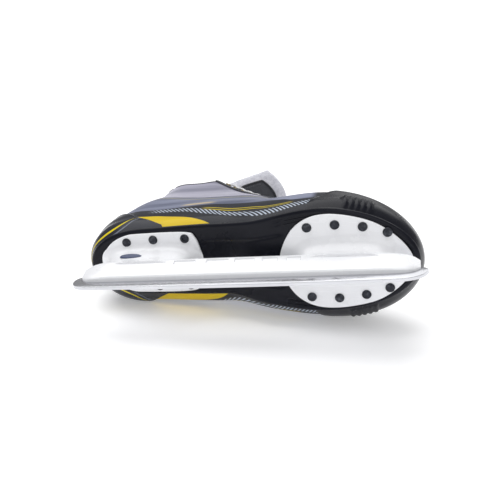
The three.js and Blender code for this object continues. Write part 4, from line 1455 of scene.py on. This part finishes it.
@dataclass
class Collar:
    """The bound collar rim, the back strap and the flexing tendon guard."""

    foot: float = 183.6
    rise: float = 36
    guard: tuple[tuple[float, float], ...] = (
        (183.6, -119.5), (190, -120.8), (198, -123.5), (208, -128), (219.6, -134.5))

    def rim(self, side: Side) -> Callable[[float], Vector]:
        """The collar line of one side, from the guard to the facing's top."""
        def path(share: float) -> Vector:
            limit = SKIN.behind_instep(190, FACING_SETBACK + 0.5)
            start = SKIN.along_of(183, -118.5)
            along = mix(start, limit, share)
            height = curve_at(COLLAR, SKIN.outline(181, along, 0)[0])
            return SKIN.point(height - 0.3, along, side.value, QUARTER + 1.1)
        return path

    def guard_place(self, u: float, v: float, depth: float) -> Vector:
        """A point of the tendon guard."""
        height = self.foot + v * self.rise
        reach = SKIN.along_of(height, curve_at(self.guard, height), QUARTER)
        turn = (2 * u - 1) * reach
        groove = 0.0
        for middle in (-0.55, -0.28, 0.0, 0.28, 0.55):
            groove = max(groove, 1 - smooth(abs(2 * u - 1 - middle) / 0.07))
        groove *= smooth((v - 0.12) / 0.1) * smooth((0.8 - v) / 0.1)
        edge = smooth(min(1 - v, u, 1 - u, 0.06) / 0.06)
        return SKIN.around(height, turn, QUARTER + depth * 2.4 + (0.75 * groove + (1 - edge) * 0.9) * (1 - depth))

    def build(self, binding: bpy.types.Material, shell: bpy.types.Material, thread: bpy.types.Material) -> None:
        """Makes the collar's pieces."""
        for side in Side:
            mesh = tube(self.rim(side), 60, 1.75, sides=12, flat=0.85)
            riding(finished(f"collar_binding_{side.label}", mesh, binding), "black_shell")

        def strap(u: float, v: float, depth: float) -> Vector:
            height = mix(62, 181.5, v)
            half = mix(0.10, 0.075, v)
            edge = smooth(min(u, 1 - u, 0.12) / 0.12)
            sunk = QUARTER - 1.15 * edge - 0.2 + depth * (1.4 + 1.15 * edge - 0.2)
            return SKIN.around(height, (2 * u - 1) * half, sunk)

        mesh = Sheet(14, 60).wrap(strap).mesh
        riding(finished("back_strap", mesh, binding, crease=50), "black_shell")
        rows = []
        for edge in (-0.82, 0.82):
            def seam(share: float, edge: float = edge) -> Vector:
                height = mix(74, 180, share)
                return SKIN.around(height, edge * mix(0.098, 0.075, share), QUARTER - 1.3)

            def out(share: float, edge: float = edge) -> Vector:
                return SKIN.outward(mix(74, 180, share), edge * 0.08)

            rows.append(stitches(seam, out, 108))
        riding(finished("back_strap_stitching", joined(rows), thread), "black_shell")

        mesh = Sheet(90, 30).wrap(self.guard_place).mesh
        bevel_sharp(mesh, 0.5, segments=2, angle=60)
        guard = finished("tendon_guard_shell", mesh, shell, crease=45)
        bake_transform(guard)
        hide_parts("tendon_guard")
        log.info("tendon_guard_shell: %d faces", len(guard.data.polygons))


@dataclass
class Lining:
    """One padded ankle lining with pressed quilting seams."""

    side: Side
    setback: float = 40
    thickness: float = 4.6

    def build(self, cloth: bpy.types.Material) -> None:
        """Makes the lining."""
        def place(u: float, v: float, depth: float) -> Vector:
            collar = curve_at(COLLAR, mix(-140, -90, u))
            top = min(collar - 1.5, 177 + 18 * smooth((u - 0.78) / 0.22))
            height = mix(70, top, v)
            limit = SKIN.behind_instep(height, self.setback)
            along = mix(0.004, limit, u)
            rim = min(u, 1 - u, v, 1 - v)
            thin = (1 - math.sqrt(clamp(rim / 0.06))) * 1.9
            seam = 0.0
            for line in (v - 0.34 - 0.10 * math.sin(u * 3.0), v - 0.66 - 0.07 * math.sin(u * 3.0), u - 0.42):
                seam = max(seam, 1 - smooth(abs(line) / 0.02))
            inset = LINING + 0.25 + mix(thin * 0.4, self.thickness - thin - 1.1 * seam, depth)
            return SKIN.point(height, along, self.side.value, inset)

        label = self.side.label
        mesh = Sheet(76, 60).wrap(place, layers=3).mesh
        thing = finished(f"ankle_lining_{label}_pad", mesh, cloth, crease=70)
        swell(thing, 0.004, 0.0006)
        riding(thing, "lining_cloth", f"ankle_lining_{label}")


@dataclass
class Tongue:
    """The felt tongue, one piece from the throat to its bent tip, with a bound vinyl patch."""

    low: float = 64
    high: float = 198
    thickness: float = 6
    flap_width: float = 66
    flap_length: float = 62
    flap_thickness: float = 9
    lean_foot: float = math.radians(30)
    lean_tip: float = math.radians(85)
    wrap: float = 13

    def hinge(self) -> Vector:
        """Where the flap bends."""
        return SKIN.point(self.high, 1, 1, TONGUE) + Vector((0, 0, 0.6))

    def lower(self, across: float, height: float, depth: float) -> Vector:
        """A point of the part under the laces."""
        spread = 1 - SKIN.behind_instep(height, FACING_SETBACK + FACING_WIDTH + 8)
        turn = 1 - abs(across) * spread
        return SKIN.point(height, turn, math.copysign(1, across), TONGUE + 0.2 + depth * (self.thickness - 0.4))

    def upper(self, across: float, up: float, depth: float) -> Vector:
        """A point of the flap above the collar."""
        hinge = self.hinge()
        radius = self.flap_length / (self.lean_tip - self.lean_foot)
        corner = 1 - 0.25 * up * up * across * across
        lean = mix(self.lean_foot, self.lean_tip, up * corner)
        reach = radius + depth * self.flap_thickness + self.wrap * across * across
        return Vector((hinge.x + radius * math.cos(self.lean_foot) - reach * math.cos(lean),
                       hinge.y + across * self.flap_width / 2 * (0.8 + 0.2 * up),
                       hinge.z + reach * math.sin(lean) - radius * math.sin(self.lean_foot)))

    def place(self, across: float, v: float, depth: float) -> Vector:
        """A point of the whole tongue: v runs from the throat to the tip."""
        knots = [self.lower(across, mix(self.low, 184, i / 12), depth) for i in range(13)]
        knots += [self.upper(across, mix(0.16, 1.0, i / 6), depth) for i in range(7)]
        return spline(knots, v)

    def build(self, felt: bpy.types.Material, vinyl: bpy.types.Material, trim: bpy.types.Material,
              thread: bpy.types.Material) -> None:
        """Makes the tongue, its patch, the patch's trim and its stitching."""
        def body(u: float, v: float, depth: float) -> Vector:
            across = 2 * u - 1
            rim = min(u, 1 - u, (1 - v) * 2.2)
            pinch = 1 - math.sqrt(clamp(rim / 0.07))
            return self.place(across * 0.995, v, mix(pinch * 0.38, 1 - pinch * 0.38, depth))

        mesh = Sheet(44, 110).wrap(body, layers=3).mesh
        thing = finished("tongue_pad", mesh, felt, crease=80)
        swell(thing, 0.0045, 0.0008)
        self.bend(thing)
        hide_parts("tongue", "tongue_flap")
        log.info("tongue_pad: %d faces", len(thing.data.polygons))

        def outline(u: float, v: float) -> tuple[float, float]:
            across = (2 * u - 1) * 0.80
            end = 0.93 - 0.10 * abs(across) ** 2.4
            return across, mix(0.30, end, v)

        def patch(u: float, v: float, depth: float) -> Vector:
            across, along = outline(u, v)
            edge = smooth(min(u, 1 - u, v, 1 - v, 0.05) / 0.05)
            return self.place(across, along, -0.20 - 0.10 * edge + depth * 0.30)

        mesh = Sheet(30, 80).wrap(patch).mesh
        self.dress(finished("tongue_patch", mesh, vinyl, crease=60))

        def rim(share: float) -> Vector:
            climb = (0, 0.25, 0.5, 0.75, 1)
            corners = [*((0, v) for v in climb), (0.33, 1), (0.67, 1), *((1, v) for v in reversed(climb))]
            step = share * (len(corners) - 1)
            low = min(len(corners) - 2, int(step))
            u, v = (mix(a, b, step - low) for a, b in zip(corners[low], corners[low + 1]))
            return self.place(*outline(u, v), -0.20)

        self.dress(finished("tongue_patch_binding", tube(rim, 200, 1.3, sides=8), trim))

        def seam(share: float) -> Vector:
            turn = share * 2 - 1
            across = math.copysign(0.72, turn)
            return self.place(across, mix(0.92, 0.32, abs(turn)) - 0.06, -0.31)

        def out(share: float) -> Vector:
            turn = share * 2 - 1
            across, along = math.copysign(0.72, turn), mix(0.92, 0.32, abs(turn)) - 0.06
            return (self.place(across, along, -0.5) - self.place(across, along, 0.0)).normalized()

        self.dress(finished("tongue_patch_stitching", stitches(seam, out, 240), thread))

    def dress(self, thing: bpy.types.Object) -> None:
        """Bakes a piece of the tongue in place and logs its faces."""
        self.bend(thing)
        log.info("%s: %d faces", thing.name, len(thing.data.polygons))

    def bend(self, thing: bpy.types.Object) -> None:
        """Bakes a piece's placement into its mesh; the hinge is found but nothing bends."""
        hinge = self.hinge()
        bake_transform(thing)


@dataclass
class Lacing:
    """Eyelets and the criss-cross lace."""

    count: int = 10
    inset: float = 9
    width: float = 6
    thickness: float = 1.4

    def heights(self) -> list[float]:
        """The eyelets' heights over the sole."""
        low, high = THROAT_HEIGHT + 7, 190
        return [mix(low, high, (i / (self.count - 1)) ** 1.25) for i in range(self.count)]

    def eyelet(self, height: float, side: Side) -> bmesh.types.BMesh:
        """One rolled eyelet, open through its middle."""
        setback = FACING_SETBACK + self.inset
        along = SKIN.behind_instep(height, setback)
        point = SKIN.point(height, along, side.value)
        out = SKIN.outward(height, along * side.value)
        profile = [(2.2, -1.2), (2.9, -1.2), (2.9, 0.45), (4.3, 0.5), (4.4, 0.8), (4.1, 1.15), (3.4, 1.45),
                   (2.7, 1.4), (2.3, 1.0), (2.2, 0.4)]
        mesh = bmesh.new()
        verts = [mesh.verts.new((r, 0, z)) for r, z in profile]
        edges = [mesh.edges.new(pair) for pair in zip(verts, verts[1:] + verts[:1])]
        bmesh.ops.spin(mesh, geom=[*verts, *edges], cent=(0, 0, 0), axis=(0, 0, 1), angle=2 * math.pi, steps=24,
                       use_merge=True)
        bmesh.ops.remove_doubles(mesh, verts=mesh.verts, dist=0.002)
        turn = Vector((0, 0, 1)).rotation_difference(out).to_matrix().to_4x4()
        bmesh.ops.transform(mesh, matrix=Matrix.Translation(point) @ turn, verts=mesh.verts)
        return mesh

    def bore(self, height: float, side: Side) -> bmesh.types.BMesh:
        """A thin near-black disc in an eyelet's hole: painted shade standing in for the dark inside of the hole."""
        along = SKIN.behind_instep(height, FACING_SETBACK + self.inset)
        out = SKIN.outward(height, along * side.value)
        turn = Vector((0, 0, 1)).rotation_difference(out).to_matrix().to_4x4()
        mesh = bmesh.new()
        place = Matrix.Translation(SKIN.point(height, along, side.value) + out * 0.1) @ turn
        # The disc lies just over the skin and only paints the shade that a real hole would show.
        bmesh.ops.create_cone(mesh, cap_ends=True, segments=16, radius1=2.3, radius2=2.3, depth=0.4, matrix=place)
        return mesh

    def run(self, start: float, end: float, lifted: float) -> bmesh.types.BMesh:
        """A flat strap over the tongue, from the outer eyelet at one height to the inner one at another."""
        lift = 3.0 + lifted

        def spot(share: float, depth: float) -> Vector:
            height = mix(start, end, share)
            reach = (1 - SKIN.behind_instep(height, FACING_SETBACK + self.inset)) / SKIN.front_share
            turn = reach * (2 * share - 1)
            dip = 2.1 * (1 - smooth(min(share, 1 - share) / 0.07))
            return SKIN.point(height, 1 - SKIN.front_share * abs(turn), math.copysign(1, turn) if turn else 1,
                              depth - lift + dip)

        def place(u: float, v: float, _depth: float) -> Vector:
            ahead = spot(min(1.0, v + 0.01), 0) - spot(max(0.0, v - 0.01), 0)
            away = spot(v, -1) - spot(v, 1)
            across = away.cross(ahead).normalized()
            away = ahead.cross(across).normalized()
            narrow = mix(0.55, 1.0, smooth(min(v, 1 - v) / 0.09))
            turn = 2 * math.pi * u
            sweep = math.copysign(abs(math.cos(turn)) ** 0.7, math.cos(turn))
            rise = math.copysign(abs(math.sin(turn)) ** 0.55, math.sin(turn))
            return spot(v, 0) + across * (sweep * self.width / 2 * narrow) + away * (rise * self.thickness / 2)

        return Sheet(14, 34).wrap(place, layers=0).cap().mesh

    def build(self, brass: bpy.types.Material, dark: bpy.types.Material, woven: bpy.types.Material) -> None:
        """Makes the eyelets, the discs of painted shade in their holes, and the lace."""
        bore_shade_discs = []
        for side in Side:
            for index, height in enumerate(self.heights(), 1):
                name = f"eyelet_{side.label}_{index}"
                ring = finished(f"{name}_rolled", self.eyelet(height, side), brass, crease=60)
                riding(ring, "eyelet_brass", name)
                # Each eyelet gets a disc of painted shade for its hole.
                bore_shade_discs.append(self.bore(height, side))
        riding(finished("eyelet_bores", joined(bore_shade_discs), dark), "eyelet_brass")
        heights = self.heights()
        runs = [self.run(heights[0], heights[0], 0)]
        for low, high in zip(heights, heights[1:]):
            runs += [self.run(low, high, 0), self.run(high, low, 0.55)]
        riding(finished("lace_strap", joined(runs), woven, crease=60), "lace_cloth", "lace")


# ---------------------------------------------------------------- the studio


@dataclass(frozen=True)
class Studio:
    """Camera, floor and soft light."""

    distance: float = 700
    turn: float = 0.2184
    rise: float = 0.3244
    roll: float = -0.1073
    lens: float = 56.749
    target: tuple[float, float, float] = (-7.377, 0, 85.171)
    ambient: float = 0.34
    backdrop: float = 1.02
    floor_size: float = 40
    floor_glow: float = 0.28
    suns: tuple[tuple[str, tuple[float, float, float], float, float], ...] = (
        ("key", (-0.30, 0.25, 1.0), 60, 1.95),
        ("fill", (0.35, -1.0, 0.8), 50, 0.55),
        ("rim", (0.2, 1.0, 0.7), 40, 0.4),
    )

    def camera(self) -> None:
        """Sets the camera at the object's view."""
        back = Vector((math.sin(self.turn) * math.cos(self.rise), -math.sin(self.rise),
                       -math.cos(self.turn) * math.cos(self.rise)))
        ahead = -back
        right = ahead.cross(Vector((0, -1, 0))).normalized()
        up = right.cross(ahead)
        rolled_right = right * math.cos(self.roll) + up * math.sin(self.roll)
        rolled_up = -right * math.sin(self.roll) + up * math.cos(self.roll)
        turned = LYING.to_3x3()
        axes = Matrix((turned @ rolled_right, turned @ rolled_up, turned @ back)).transposed()
        eye = row_point(Vector(self.target) + back * self.distance)
        data = bpy.data.cameras.new("view")
        data.lens, data.sensor_width, data.clip_end = self.lens, 36, 200
        camera = bpy.data.objects.new("view", data)
        camera.matrix_world = Matrix.Translation(eye) @ axes.to_4x4()
        bpy.context.scene.collection.objects.link(camera)
        bpy.context.scene.camera = camera

    def floor(self) -> None:
        """Lays the pale floor."""
        mesh = bmesh.new()
        bmesh.ops.create_grid(mesh, x_segments=1, y_segments=1, size=self.floor_size)
        graph = Graph("studio_floor")
        cloud = graph.noise(graph.object_place(), 1.5, 2)
        pale = graph.finish(graph.blend(cloud, (0.96, 0.96, 0.965), (0.94, 0.94, 0.95)), 0.75)
        graph.set("Specular IOR Level", 0.2)
        graph.set("Emission Color", (1, 1, 1, 1))
        graph.set("Emission Strength", self.floor_glow)
        finished("studio_floor", mesh, pale, upright=False)

    def lights(self) -> None:
        """Hangs the soft lights and the pale surround."""
        world = bpy.data.worlds.new("surround")
        bpy.context.scene.world = world
        world.use_nodes = True
        tree = world.node_tree
        seen = tree.nodes.new("ShaderNodeLightPath")
        level = tree.nodes.new("ShaderNodeMapRange")
        level.inputs["To Min"].default_value = self.ambient
        level.inputs["To Max"].default_value = self.backdrop
        tree.links.new(seen.outputs["Is Camera Ray"], level.inputs["Value"])
        tree.links.new(level.outputs["Result"], tree.nodes["Background"].inputs["Strength"])
        tree.nodes["Background"].inputs["Color"].default_value = (0.985, 0.99, 1.0, 1)
        for name, toward, spread, strength in self.suns:
            data = bpy.data.lights.new(name, "SUN")
            data.energy, data.angle = strength, math.radians(spread)
            lamp = bpy.data.objects.new(name, data)
            lamp.matrix_world = Vector(toward).to_track_quat("Z", "Y").to_matrix().to_4x4()
            bpy.context.scene.collection.objects.link(lamp)

    def build(self) -> None:
        """Sets up the studio."""
        self.camera()
        self.floor()
        self.lights()
        bpy.context.scene.view_settings.view_transform = "Standard"


def dress_node(node: str, material: bpy.types.Material) -> None:
    """Gives a CAD node its finish."""
    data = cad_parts[node].data
    data.materials.clear()
    data.materials.append(material)


def side_prints() -> dict[Side, PrintedShell]:
    """The printed fields of the boot's two sides."""
    outer = PrintedShell(
        name="quarter_outer_print",
        wedge=((-120, 92), (-104, 91), (-92, 90), (-80, 87), (-58, 79), (-46, 74), (-28, 66), (60, 50)),
        band=((-160, 112), (-98, 103), (-70, 99), (-45, 90), (-20, 80), (-7, 74), (10, 66), (21, 65), (38, 67),
              (60, 70)),
        band_width=8.0,
        piping=((-60, 98), (-29, 90), (-2, 82), (16, 75), (32, 73), (60, 76)),
        panel=((-160, 113), (-110, 108), (-73, 107), (-40, 105), (4, 96), (25, 87), (45, 79), (70, 79)),
        line=((-160, 168), (-101, 158), (-75, 147), (-47, 140), (2, 141), (60, 150)),
    )
    inner = PrintedShell(
        name="quarter_inner_print",
        wedge=((-120, 92), (-104, 88), (-87, 86), (-59, 84), (-40, 80), (-16, 66), (60, 50)),
        band=((-160, 112), (-98, 106), (-60, 98), (-30, 84), (0, 72), (20, 66), (38, 64), (60, 68)),
        band_width=8.0,
        piping=((-60, 96), (-29, 86), (-2, 78), (16, 72), (32, 70), (60, 72)),
        panel=((-160, 114), (-110, 108), (-73, 104), (-40, 94), (4, 84), (25, 78), (45, 75), (70, 78)),
        line=((-160, 168), (-101, 158), (-75, 147), (-47, 140), (2, 141), (60, 150)),
        wedge_rear=-33,
    )
    return {Side.OUTER: outer, Side.INNER: inner}


def main() -> None:
    """Builds the studio and every piece of the skate, in order."""
    logging.basicConfig(level=logging.INFO, format="%(name)s: %(message)s")
    Studio().build()

    plastic = MouldedPlastic().build()
    composite = GlossShell("black_composite_gloss").build()
    thread = TurnedMetal("thread_grey", (0.10, 0.105, 0.12), (0.24, 0.25, 0.28), 0.75, 0.0).build()
    vinyl = GrainedVinyl("facing_vinyl", (0.012, 0.013, 0.018), (0.05, 0.053, 0.066)).build()
    binding = GrainedVinyl("binding_vinyl", (0.008, 0.008, 0.011), (0.03, 0.031, 0.038), 0.5).build()
    zinc = TurnedMetal("bolt_zinc", (0.42, 0.43, 0.45), (0.66, 0.67, 0.68), 0.38).build()
    inlay = GlossShell("badge_inlay_blue", (0.035, 0.045, 0.10), (0.16, 0.19, 0.30), 0.2, 900).build()

    Runner().build(GroundSteel().build())
    Holder().build(plastic, inlay)
    Rivets().build(TurnedMetal("rivet_dark", (0.030, 0.032, 0.040), (0.085, 0.09, 0.105), 0.42, 0.75).build())
    for node in ("runner_bolt_front", "runner_bolt_rear", "bolt_nut_front", "bolt_nut_rear"):
        dress_node(node, zinc)
    Sole().build(composite)
    dress_node("insole_board", PressedBoard().build())
    Bed().build(PunchedFoam().build())

    for side, printed in side_prints().items():
        Quarter(side).build(printed.build())
        Facings(side).build(vinyl, thread)
        Lining(side).build(Weave("lining_weave", (0.016, 0.017, 0.021), (0.06, 0.064, 0.078), 90, 90).build())
    HeelCounter().build(CounterShell().build(), thread)
    ToeCap().build(composite)
    guard = GlossShell("tendon_guard_gloss", (0.012, 0.013, 0.018), (0.06, 0.062, 0.075), 0.35).build()
    Collar().build(binding, guard, thread)
    Tongue().build(Felt("tongue_felt", (0.50, 0.50, 0.57), (0.80, 0.80, 0.86)).build(), vinyl, binding, thread)
    Lacing().build(TurnedMetal("eyelet_brass_plate", (0.42, 0.31, 0.12), (0.72, 0.58, 0.30), 0.3).build(),
                   # Near-black finish of the eyelet hole discs: painted shade.
                   TurnedMetal("eyelet_bore_dark", (0.004, 0.004, 0.005), (0.012, 0.012, 0.014), 0.8, 0.0).build(),
                   Weave("lace_weave", (0.62, 0.62, 0.64), (0.92, 0.92, 0.93), 22, 34).build())


if __name__ == "__main__":
    main()
